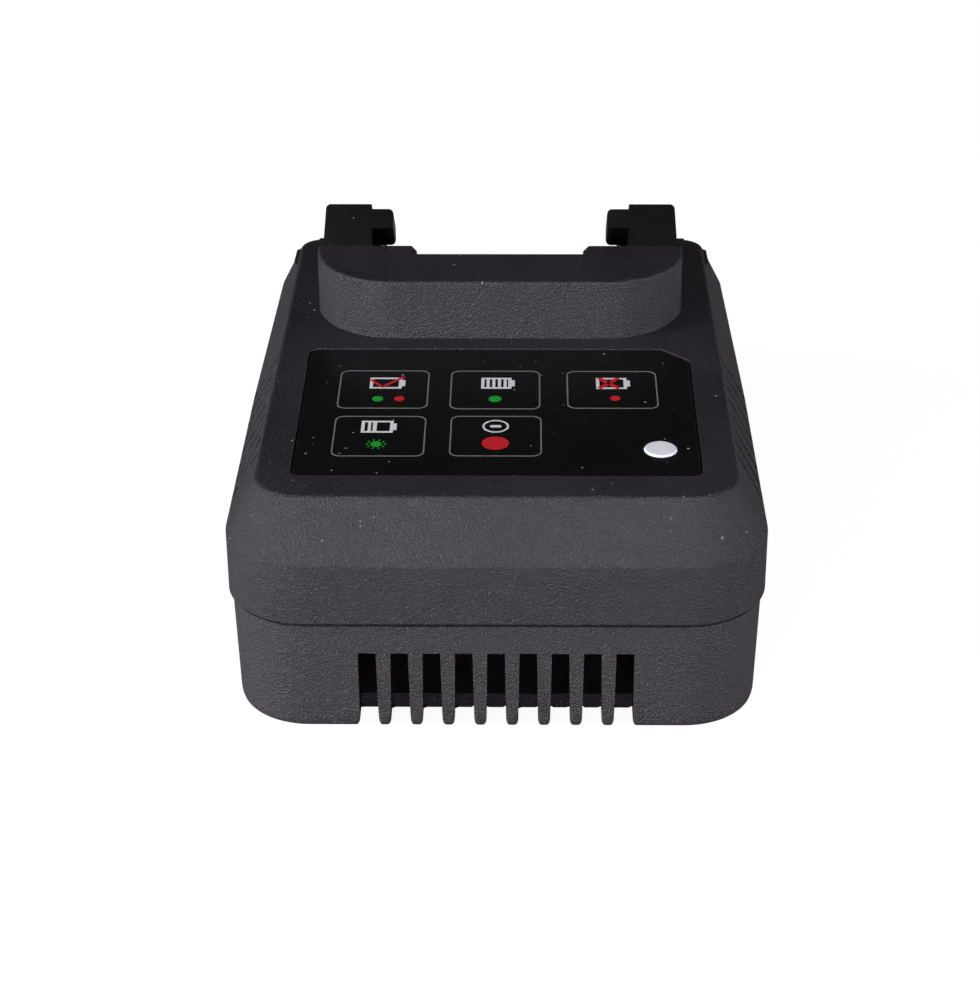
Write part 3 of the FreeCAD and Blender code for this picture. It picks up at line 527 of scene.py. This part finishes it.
finishes["input_capacitor"] = finishes["output_capacitors"] = sleeve
finishes["film_capacitor"] = insidePart("filmBox", (0.68, 0.46, 0.05), (0.75, 0.54, 0.09), 700.0, 0.35)
for package in ("switching_transistor", "output_rectifier", "bridge_rectifier", "control_chip"):
    finishes[package] = packagePlastic
finishes["line_choke"] = insidePart("chokeFerrite", (0.04, 0.11, 0.05), (0.06, 0.15, 0.08), 600.0, 0.45)
finishes["fuse"] = insidePart("fuseGlass", (0.8, 0.83, 0.84), (0.86, 0.88, 0.89), 300.0, 0.08)
finishes["status_led"] = insidePart("ledEpoxy", (0.8, 0.8, 0.8), (0.88, 0.88, 0.88), 300.0, 0.12)

for nodeName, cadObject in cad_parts.items():
    cadObject.data.materials.clear()
    cadObject.data.materials.append(finishes[nodeName])
print("stage: materials on", len(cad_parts), "solids")


# case pieces with softer edges than the solids

# sizes in millimetres, most of them measured on the solids, whose points the pieces start from
caseShape = {
    "halfWidth": 48.0,
    "cornerX": 32.2,
    "cornerY": 47.0,
    "seamHeight": 21.4,
    "creaseHeight": 33.8,
    "topHeight": 44.0,
    "outerFrom": 11.0,
    "sightStart": (20.6, 55.6),
    "sightFall": 0.455,
    "notchTop": 60.0,
    "weld": 0.002,
    "sharpAngle": 35.0,
    "roundSteps": 4,
}
lowerShape = {
    "bottomDrop": 0.75,
    "dropFrom": 3.0,
    "bottomRound": 1.6,
    "roundKept": 0.3,
    "seamDrop": 0.2,
    "rimFrom": 13.0,
    "atRim": 0.02,
}
barShape = {
    "slotTop": 15.6,
    "slotPitch": 5.67,
    "slotCount": 9,
    "sideAt": 1.185,
    "topWidth": 2.57,
    "endWidth": 2.15,
    "endRound": 0.55,
    "endSteps": 3,
    "taperBefore": -50.0,
    "frontBefore": -54.0,
    "edgeAngle": 1.0,
    "atEnd": 0.02,
    "atSide": 0.03,
    "atTop": 0.05,
    "upright": 0.1,
}
rearShape = {
    "tighten": 4.0,
    "tightenBeyond": 5.4,
    "wellHalf": 34.3,
    "wellEnd": 54.75,
    "bevelOut": 0.9,
    "wallIn": 1.2,
    "creaseUp": 1.5,
    "startsAt": 5.0,
    "mostShare": 1.13,
    "wallCurve": 1.5,
    "creaseCurve": 2,
    "leanFrom": 34.0,
    "leanOver": 7.0,
    "seamRoom": 1.0,
}
grooveShape = {
    "first": -37.5,
    "pitch": 5.5,
    "count": 8,
    "half": 0.65,
    "widen": 1.5,
    "deeper": 0.7,
    "sideFrom": 36.0,
    "floorFrom": -0.6,
    "floorAbove": 32.4,
    "bevelNormal": (0.843, 0.537),
    "atSide": 0.03,
}
notchShape = {
    "noseHalf": 15.6,
    "noseEnd": 29.5,
    "noseFlare": 0.45,
    "rimHalf": 24.0,
    "rimFrom": 36.0,
    "rimBack": 70.0,
}
dockShape = {"postFrom": 55.7, "postSide": 30.0, "postWiden": 0.85, "edgeRound": 0.6}
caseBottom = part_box("base_cover")[0].z / mm


def mergedCopy(nodeName):
    shell = bmesh.new()
    shell.from_mesh(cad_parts[nodeName].data)
    bmesh.ops.remove_doubles(shell, verts=shell.verts[:], dist=caseShape["weld"] * mm)
    shell.normal_update()
    return shell


def between(value, low=0.0, high=1.0):
    return max(low, min(high, value))


def awayFromMiddle(x, y):
    # level direction and distance out of the inner rectangle that the case's round corners turn about
    innerX, innerY = caseShape["cornerX"], caseShape["cornerY"]
    nearest = Vector((between(x, -innerX, innerX), between(y, -innerY, innerY)))
    return Vector((x, y)) - nearest


def squaredCorner(x, y):
    # the rear corners are tighter than the front ones, and the dock's well keeps its place
    shape = rearShape
    away = awayFromMiddle(x, y)
    atCorner = y >= caseShape["cornerY"] and abs(x) >= caseShape["cornerX"]
    inWell = abs(x) < shape["wellHalf"] and y < shape["wellEnd"]
    if not atCorner or inWell or away.length < shape["tightenBeyond"]:
        return Vector((x, y))
    side = 1 if x > 0 else -1
    return Vector((x, y)) + shape["tighten"] * (Vector((side, 1)) - away.normalized())


def sideLean(x, y, z):
    # a steeper side bevel, and towards the rear a wall further in and a crease higher up
    shape = rearShape
    seam = caseShape["seamHeight"] + shape["seamRoom"]
    crease, top = caseShape["creaseHeight"], caseShape["topHeight"]
    side = 1 if x > 0 else -1
    rise = between((z - crease) / (top - crease))
    backLength = caseShape["cornerY"] - shape["startsAt"]
    back = between((y - shape["startsAt"]) / backLength, high=shape["mostShare"])
    share = between((abs(x) - shape["leanFrom"]) / shape["leanOver"])
    above = between((z - seam) / (crease - seam))
    inwards = shape["wallIn"] * back ** shape["wallCurve"] * (1 - rise)
    upwards = shape["creaseUp"] * back ** shape["creaseCurve"] * (1 - rise) * above
    return side * share * (shape["bevelOut"] * rise - inwards), share * upwards


def roundBarEnds(shell):
    # the free lower ends of the bars are rounded
    shape = barShape
    reach = shape["slotPitch"] * shape["slotCount"] / 2
    lowest = caseBottom + lowerShape["bottomRound"] + shape["atEnd"]
    edges = []
    for edge in shell.edges:
        first, second = (vertex.co / mm for vertex in edge.verts)
        low = max(first.z, second.z) < lowest
        inFront = max(first.y, second.y) < shape["frontBefore"]
        atBars = max(abs(first.x), abs(second.x)) < reach
        upright = abs(first.x - second.x) < shape["upright"]
        if low and inFront and atBars and upright and edge.calc_face_angle(0) > shape["edgeAngle"]:
            edges.append(edge)
    bmesh.ops.bevel(shell, geom=edges, offset=shape["endRound"] * mm, segments=shape["endSteps"],
                    profile=0.5, affect="EDGES", clamp_overlap=True)
    print("stage: rounded", len(edges), "bar edges")


def lowerCaseMove(vertex):
    # takes the bottom edge down to the ground, tightens its round and opens the seam
    shape = lowerShape
    x, y, z = vertex.co / mm
    away = awayFromMiddle(x, y)
    place = Vector((x, y))
    height = z
    if z < shape["dropFrom"]:
        height -= shape["bottomDrop"] * (shape["dropFrom"] - z) / (shape["dropFrom"] - caseBottom)
    if abs(z - caseShape["seamHeight"]) < shape["atRim"] and away.length > shape["rimFrom"]:
        height -= shape["seamDrop"]
    rise, radius = z - caseBottom, shape["bottomRound"]
    if rise < radius and away.length > caseShape["outerFrom"]:
        inset = radius - math.sqrt(max(0.0, radius ** 2 - (radius - rise) ** 2))
        place += away.normalized() * inset * (1 - shape["roundKept"])
    place = squaredCorner(place.x, place.y)
    lean = sideLean(x, y, z)[0]
    return Vector((place.x + lean, place.y, height)) * mm


def upperCaseMove(vertex):
    # tighter rear corners, leaning sides, and wider, deeper grip grooves
    shape = grooveShape
    x, y, z = vertex.co / mm
    lean, lift = sideLean(x, y, z)
    place = squaredCorner(x, y)
    groove = (y - shape["first"]) / shape["pitch"]
    offset = (groove - round(groove)) * shape["pitch"]
    inRow = abs(x) > shape["sideFrom"] and -0.5 < groove < shape["count"] - 0.5
    if inRow and abs(abs(offset) - shape["half"]) < shape["atSide"]:
        place.y += offset * (shape["widen"] - 1)
        outX, outZ = shape["bevelNormal"]
        over = (abs(x) - caseShape["halfWidth"]) * outX + (z - caseShape["creaseHeight"]) * outZ
        if over < shape["floorFrom"] and z > shape["floorAbove"]:
            place.x -= math.copysign(outX * shape["deeper"], x)
            lift -= outZ * shape["deeper"]
    return Vector((place.x + lean, place.y, z + lift)) * mm


def dockMove(vertex):
    # the posts stand a little wider than the rails that they end
    x, y, z = vertex.co / mm
    if z > dockShape["postFrom"] and abs(x) > dockShape["postSide"]:
        x += math.copysign(dockShape["postWiden"], x)
    return Vector((x, y, z)) * mm


def barTaper(vertex):
    # the bars between the slots narrow towards their ends
    shape = barShape
    x, y, z = vertex.co / mm
    if y > shape["taperBefore"] or z > shape["slotTop"] + shape["atTop"]:
        return vertex.co
    lastBar = shape["slotCount"] - 2
    half = lastBar / 2 * shape["slotPitch"]
    bar = round((x + half) / shape["slotPitch"])
    centre = bar * shape["slotPitch"] - half
    if bar < 0 or bar > lastBar or abs(abs(x - centre) - shape["sideAt"]) > shape["atSide"]:
        return vertex.co
    share = max(0.0, z) / shape["slotTop"]
    width = shape["endWidth"] + (shape["topWidth"] - shape["endWidth"]) * share
    side = 1 if x > centre else -1
    return Vector((centre + side * width / 2, y, z)) * mm


def wedgeCutter(name, half, start, end, flare=0.0):
    # clears what stands above the slope that falls from the nose's back edge to the rear
    shape = caseShape
    fromY, fromZ = shape["sightStart"]
    profile = [(y, fromZ - (y - fromY) * shape["sightFall"]) for y in (start, end)]
    profile += [(end, shape["notchTop"]), (start, shape["notchTop"])]
    left, right = [], []
    for y, z in profile:
        reach = half + flare * (y - start)
        left.append((-reach * mm, y * mm, z * mm))
        right.append((reach * mm, y * mm, z * mm))
    mesh = bpy.data.meshes.new(name)
    sides = [(here, (here + 1) % 4, (here + 1) % 4 + 4, here + 4) for here in range(4)]
    mesh.from_pydata(left + right, [], [(3, 2, 1, 0), (4, 5, 6, 7)] + sides)
    shell = bmesh.new()
    shell.from_mesh(mesh)
    bmesh.ops.recalc_face_normals(shell, faces=shell.faces[:])
    shell.to_mesh(mesh)
    shell.free()
    cutter = bpy.data.objects.new(name, mesh)
    scene.collection.objects.link(cutter)
    return cutter


def plainMesh(owner, name):
    bpy.context.view_layer.update()
    evaluated = owner.evaluated_get(bpy.context.evaluated_depsgraph_get())
    mesh = bpy.data.meshes.new_from_object(evaluated)
    mesh.name = name
    bpy.data.objects.remove(owner)
    return mesh


def cutAndRounded(shell, name, cutters, roundWidth=0.0):
    mesh = bpy.data.meshes.new(name)
    shell.to_mesh(mesh)
    shell.free()
    owner = bpy.data.objects.new(name + "Work", mesh)
    scene.collection.objects.link(owner)
    for cutter in cutters:
        cut = owner.modifiers.new(cutter.name, "BOOLEAN")
        cut.operation, cut.object, cut.solver = "DIFFERENCE", cutter, "EXACT"
    if roundWidth:
        soften = owner.modifiers.new("softEdges", "BEVEL")
        soften.width, soften.segments = roundWidth * mm, caseShape["roundSteps"]
        soften.limit_method, soften.angle_limit = "ANGLE", math.radians(caseShape["sharpAngle"])
        soften.use_clamp_overlap = True
    return plainMesh(owner, name)


lowerShell = mergedCopy("base_cover")
for vertex in lowerShell.verts:
    vertex.co = barTaper(vertex)
roundBarEnds(lowerShell)
newPlaces = [lowerCaseMove(vertex) for vertex in lowerShell.verts]
for vertex, place in zip(lowerShell.verts, newPlaces):
    vertex.co = place
lowerMesh = bpy.data.meshes.new("lowerCase")
lowerShell.to_mesh(lowerMesh)
lowerShell.free()
lowerCase = makePiece("lowerCase", lowerMesh, lowerPlastic)
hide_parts("base_cover")

notchCutters = [
    wedgeCutter("noseNotch", notchShape["noseHalf"], caseShape["sightStart"][0], notchShape["noseEnd"],
                notchShape["noseFlare"]),
    wedgeCutter("rimNotch", notchShape["rimHalf"], notchShape["rimFrom"], notchShape["rimBack"]),
]
upperShell = mergedCopy("top_cover")
for vertex in upperShell.verts:
    vertex.co = upperCaseMove(vertex)
upperMesh = cutAndRounded(upperShell, "upperCase", notchCutters)
upperCase = makePiece("upperCase", upperMesh, casePlastic)
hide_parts("top_cover")

dockShell = mergedCopy("battery_dock")
for vertex in dockShell.verts:
    vertex.co = dockMove(vertex)
flatAngle = math.radians(1)
bmesh.ops.dissolve_limit(
    dockShell, angle_limit=flatAngle, verts=dockShell.verts[:], edges=dockShell.edges[:]
)
dockMesh = cutAndRounded(dockShell, "dockTray", notchCutters, dockShape["edgeRound"])
dockTray = makePiece("dockTray", dockMesh, dockPlastic)
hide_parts("battery_dock")
for cutter in notchCutters:
    bpy.data.objects.remove(cutter)
print("stage: case pieces")


# printing on the label

labelPrint = {
    "lift": 0.02,
    "ink": 0.03,
    "boxLine": 0.26,
    "boxCorner": 1.7,
    "iconLine": 0.5,
    "iconSide": 1.2,
    "terminalLength": 0.6,
    "terminalHalf": 0.27,
    "dotSides": 40,
    "boxes": [
        (-29.6, -21.8, -12.9, -6.3),
        (-8.9, -22.0, 7.8, -6.35),
        (12.7, -21.7, 29.5, -6.4),
        (-29.5, -40.2, -12.9, -24.8),
        (-8.5, -40.1, 8.0, -24.7),
    ],
}
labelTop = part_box("label_panel")[1].z / mm


class InkSheet:
    # flat closed outlines, each with a small height, gathered into one mesh
    def __init__(self, level):
        self.mesh = bmesh.new()
        self.low = level + labelPrint["lift"]
        self.high = self.low + labelPrint["ink"]

    def loop(self, points, height):
        return [self.mesh.verts.new((x * mm, y * mm, height * mm)) for x, y in points]

    def slab(self, points):
        low, high = self.loop(points, self.low), self.loop(points, self.high)
        self.mesh.faces.new(high)
        self.mesh.faces.new(list(reversed(low)))
        self.skirt(low, high)

    def skirt(self, low, high):
        for here in range(len(low)):
            after = (here + 1) % len(low)
            self.mesh.faces.new((low[here], low[after], high[after], high[here]))

    def ring(self, outer, inner):
        lowOut, highOut = self.loop(outer, self.low), self.loop(outer, self.high)
        lowIn, highIn = self.loop(inner, self.low), self.loop(inner, self.high)
        self.skirt(lowOut, highOut)
        self.skirt(list(reversed(lowIn)), list(reversed(highIn)))
        for here in range(len(outer)):
            after = (here + 1) % len(outer)
            self.mesh.faces.new((highOut[here], highOut[after], highIn[after], highIn[here]))
            self.mesh.faces.new((lowIn[here], lowIn[after], lowOut[after], lowOut[here]))

    def finish(self, name, material):
        bmesh.ops.recalc_face_normals(self.mesh, faces=self.mesh.faces[:])
        mesh = bpy.data.meshes.new(name)
        self.mesh.to_mesh(mesh)
        self.mesh.free()
        return makePiece(name, mesh, material)


def disc(x, y, radius):
    sides = labelPrint["dotSides"]
    turns = [math.tau * side / sides for side in range(sides)]
    return [(x + radius * math.cos(turn), y + radius * math.sin(turn)) for turn in turns]


def stroke(start, end, width):
    line = Vector(end) - Vector(start)
    side = Vector((-line.y, line.x)).normalized() * width / 2
    corners = ((start, -side), (end, -side), (end, side), (start, side))
    return [tuple(Vector(point) + offset) for point, offset in corners]


frameInk, whiteInk = InkSheet(labelTop), InkSheet(labelTop)
redInk, greenInk = InkSheet(labelTop + labelPrint["ink"]), InkSheet(labelTop)

for left, front, right, back in labelPrint["boxes"]:
    line, corner = labelPrint["boxLine"], labelPrint["boxCorner"]
    frameInk.ring(
        roundedRectangle(left, front, right, back, corner),
        roundedRectangle(left + line, front + line, right - line, back - line, corner - line),
    )


def batteryShape(sheet, left, front, right, back):
    line = labelPrint["iconLine"]
    side = line * labelPrint["iconSide"]
    sheet.ring(
        rectangle(left, front, right, back),
        rectangle(left + side, front + line, right - side, back - line),
    )
    middleY, halfTerminal = (front + back) / 2, (back - front) * labelPrint["terminalHalf"]
    end = right + labelPrint["terminalLength"]
    sheet.slab(rectangle(right, middleY - halfTerminal, end, middleY + halfTerminal))


# what each box shows: a battery, filled bars, strokes given as start, end and width, and round lights
boxMarks = {
    "charged": {
        "battery": (-23.95, -13.7, -17.95, -9.3),
        "strokes": [((-23.8, -10.2), (-21.5, -13.2), 0.6), ((-21.7, -13.3), (-17.7, -9.0), 0.6)],
        "green": [(-22.2, -17.9, 1.0)],
        "red": [(-18.2, -17.9, 0.95)],
    },
    "full": {"battery": (-3.2, -13.7, 2.45, -9.3), "green": [(-0.55, -17.9, 1.2)]},
    "faulty": {
        "battery": (18.2, -13.7, 23.9, -9.3),
        "strokes": [((18.7, -13.6), (22.4, -9.4), 0.85), ((18.7, -9.4), (22.4, -13.6), 0.85)],
        "red": [(21.6, -17.6, 0.95)],
    },
    "charging": {
        "battery": (-24.6, -31.2, -18.8, -26.7),
        "bars": [(-23.4, -30.65, -22.85, -27.25), (-22.5, -30.65, -21.8, -27.25)],
        "green": [(-21.6, -35.6, 1.0)],
    },
    "stopped": {"red": [(-0.3, -35.2, 2.45)]},
}
for box in boxMarks.values():
    if "battery" in box:
        batteryShape(whiteInk, *box["battery"])
    for bar in box.get("bars", []):
        whiteInk.slab(rectangle(*bar))
    for start, end, width in box.get("strokes", []):
        redInk.slab(stroke(start, end, width))
    for light in box.get("green", []):
        greenInk.slab(disc(*light))
    for light in box.get("red", []):
        redInk.slab(disc(*light))

# the minus sign in its ring
minusMark = {"centre": (-0.3, -28.7), "outer": 2.4, "inner": 2.05, "bar": (-1.35, -29.1, 0.75, -28.3, 0.35)}
whiteInk.ring(disc(*minusMark["centre"], minusMark["outer"]), disc(*minusMark["centre"], minusMark["inner"]))
whiteInk.slab(roundedRectangle(*minusMark["bar"]))

paleInk = printedInk("whiteInk", (0.62, 0.62, 0.64), (0.5, 0.5, 0.52))
leafInk = printedInk("greenInk", (0.01, 0.3, 0.025), (0.008, 0.22, 0.02))
frameInk.finish("labelFrames", printedInk("greyInk", (0.16, 0.16, 0.165), (0.11, 0.11, 0.115)))
whiteInk.finish("labelBatteries", paleInk)
redInk.finish("labelRedMarks", printedInk("redInk", (0.5, 0.012, 0.022), (0.4, 0.01, 0.018)))
greenInk.finish("labelGreenLights", leafInk)


def geometryTree(name, inputs):
    # a Geometry Nodes tree with named inputs, its reader and its writer
    tree = bpy.data.node_groups.new(name, "GeometryNodeTree")
    tree.interface.new_socket("Geometry", in_out="OUTPUT", socket_type="NodeSocketGeometry")
    for socketName, kind in inputs:
        tree.interface.new_socket(socketName, in_out="INPUT", socket_type=kind)
    return tree, tree.nodes.new("NodeGroupInput"), tree.nodes.new("NodeGroupOutput")


def joined(tree, kind, settings, sockets):
    # a node with its settings, each socket linked or set
    node = tree.nodes.new(kind)
    for setting, value in settings.items():
        setattr(node, setting, value)
    for socket, value in sockets.items():
        if hasattr(value, "links"):
            tree.links.new(value, node.inputs[socket])
        else:
            node.inputs[socket].default_value = value
    return node


def realized(tree, result, points, instance, rotation, material):
    placed = joined(tree, "GeometryNodeInstanceOnPoints", {},
                    {"Points": points, "Instance": instance, "Rotation": rotation})
    real = joined(tree, "GeometryNodeRealizeInstances", {}, {"Geometry": placed.outputs["Instances"]})
    painted = joined(tree, "GeometryNodeSetMaterial", {},
                     {"Geometry": real.outputs["Geometry"], "Material": material})
    tree.links.new(painted.outputs["Geometry"], result.inputs["Geometry"])


def repeatedMarksTree():
    # equal blocks of ink in a row, on a ring, or both
    tree, source, result = geometryTree("repeatedMarks", [
        ("Count", "NodeSocketInt"), ("Centre", "NodeSocketVector"), ("Step", "NodeSocketVector"),
        ("Turn", "NodeSocketFloat"), ("Reach", "NodeSocketVector"), ("Size", "NodeSocketVector"),
        ("Ink", "NodeSocketMaterial"),
    ])
    given = source.outputs
    index = tree.nodes.new("GeometryNodeInputIndex").outputs[0]
    angle = joined(tree, "ShaderNodeMath", {"operation": "MULTIPLY"}, {0: index, 1: given["Turn"]})
    step = joined(tree, "ShaderNodeVectorMath", {"operation": "SCALE"}, {0: given["Step"], "Scale": index})
    reach = joined(tree, "ShaderNodeVectorRotate", {"rotation_type": "Z_AXIS"},
                   {"Vector": given["Reach"], "Angle": angle.outputs[0]})
    offset = joined(tree, "ShaderNodeVectorMath", {"operation": "ADD"},
                    {0: step.outputs[0], 1: reach.outputs[0]})
    place = joined(tree, "ShaderNodeVectorMath", {"operation": "ADD"},
                   {0: given["Centre"], 1: offset.outputs[0]})
    points = joined(tree, "GeometryNodePoints", {}, {"Count": given["Count"], "Position": place.outputs[0]})
    block = joined(tree, "GeometryNodeMeshCube", {}, {"Size": given["Size"]})
    spin = joined(tree, "ShaderNodeCombineXYZ", {}, {"Z": angle.outputs[0]})
    realized(tree, result, points.outputs[0], block.outputs["Mesh"], spin.outputs[0], given["Ink"])
    return tree


def crossScrewTree():
    # a round screw head with a crossed recess, set at the four corners of a rectangle, facing down
    tree, source, result = geometryTree("crossScrews", [
        ("Across", "NodeSocketFloat"), ("Along", "NodeSocketFloat"), ("Centre", "NodeSocketVector"),
        ("Head Radius", "NodeSocketFloat"), ("Head Depth", "NodeSocketFloat"),
        ("Slot", "NodeSocketVector"), ("Steel", "NodeSocketMaterial"),
    ])
    given = source.outputs
    grid = joined(tree, "GeometryNodeMeshGrid", {},
                  {"Size X": given["Across"], "Size Y": given["Along"], "Vertices X": 2, "Vertices Y": 2})
    corners = joined(tree, "GeometryNodeSetPosition", {},
                     {"Geometry": grid.outputs["Mesh"], "Offset": given["Centre"]})
    head = joined(tree, "GeometryNodeMeshCylinder", {},
                  {"Vertices": 48, "Radius": given["Head Radius"], "Depth": given["Head Depth"]})
    lower = joined(tree, "ShaderNodeMath", {"operation": "MULTIPLY"}, {0: given["Head Depth"], 1: -0.5})
    low = joined(tree, "ShaderNodeCombineXYZ", {}, {"Z": lower.outputs[0]})
    slot = joined(tree, "GeometryNodeMeshCube", {}, {"Size": given["Slot"]})
    cut = head.outputs["Mesh"]
    for turn in (0.0, math.pi / 2):
        arm = joined(tree, "GeometryNodeTransform", {}, {"Geometry": slot.outputs["Mesh"],
                                                         "Translation": low.outputs[0]})
        arm.inputs["Rotation"].default_value = (0, 0, turn)
        recess = joined(tree, "GeometryNodeMeshBoolean", {"operation": "DIFFERENCE"}, {"Mesh 1": cut})
        tree.links.new(arm.outputs["Geometry"], recess.inputs["Mesh 2"])
        cut = recess.outputs["Mesh"]
    realized(tree, result, corners.outputs["Geometry"], cut, (0, 0, 0), given["Steel"])
    return tree


def treePiece(name, tree, material, slotName, **values):
    # the tree's result as a plain mesh
    owner = bpy.data.objects.new(name + "Work", bpy.data.meshes.new(name + "Work"))
    scene.collection.objects.link(owner)
    modifier = owner.modifiers.new(tree.name, "NODES")
    modifier.node_group = tree
    known = {item.name: item.identifier for item in tree.interface.items_tree if item.in_out == "INPUT"}
    for socketName, value in values.items():
        modifier[known[socketName.replace("_", " ")]] = value
    return makePiece(name, plainMesh(owner, name), material)


marks = repeatedMarksTree()
inkHeight = labelTop + labelPrint["lift"] + labelPrint["ink"] / 2
cellRow = {"count": 4, "first": (-1.91, -11.5), "step": 1.06, "size": (0.58, 3.3)}
rayRing = {"count": 10, "centre": (-21.6, -35.6), "reach": 1.6, "size": (0.5, 0.22)}
treePiece(
    "labelCells", marks, paleInk, "label_gloss",
    Count=cellRow["count"], Centre=Vector((*cellRow["first"], inkHeight)) * mm,
    Step=Vector((cellRow["step"], 0, 0)) * mm, Turn=0.0, Reach=Vector((0, 0, 0)),
    Size=Vector((*cellRow["size"], labelPrint["ink"])) * mm, Ink=paleInk,
)
treePiece(
    "labelRays", marks, leafInk, "label_gloss",
    Count=rayRing["count"], Centre=Vector((*rayRing["centre"], inkHeight)) * mm,
    Step=Vector((0, 0, 0)), Turn=math.tau / rayRing["count"], Reach=Vector((rayRing["reach"], 0, 0)) * mm,
    Size=Vector((*rayRing["size"], labelPrint["ink"])) * mm, Ink=leafInk,
)
print("stage: printing on the label")

# the drive recesses of the four screws under the case
screwHead = {"radius": 2.75, "solidRadius": 2.8, "depth": 0.9, "proud": 0.35, "slot": (3.4, 0.75, 1.2)}
screwLow, screwHigh = (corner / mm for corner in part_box("case_screws"))
treePiece(
    "screwHeads", crossScrewTree(), screwSteel, "screw_steel",
    Across=(screwHigh.x - screwLow.x - 2 * screwHead["solidRadius"]) * mm,
    Along=(screwHigh.y - screwLow.y - 2 * screwHead["solidRadius"]) * mm,
    Centre=Vector(((screwLow.x + screwHigh.x) / 2, (screwLow.y + screwHigh.y) / 2,
                   screwLow.z + screwHead["depth"] / 2 - screwHead["proud"])) * mm,
    Head_Radius=screwHead["radius"] * mm, Head_Depth=screwHead["depth"] * mm,
    Slot=Vector(screwHead["slot"]) * mm, Steel=screwSteel,
)
print("stage: screw heads")
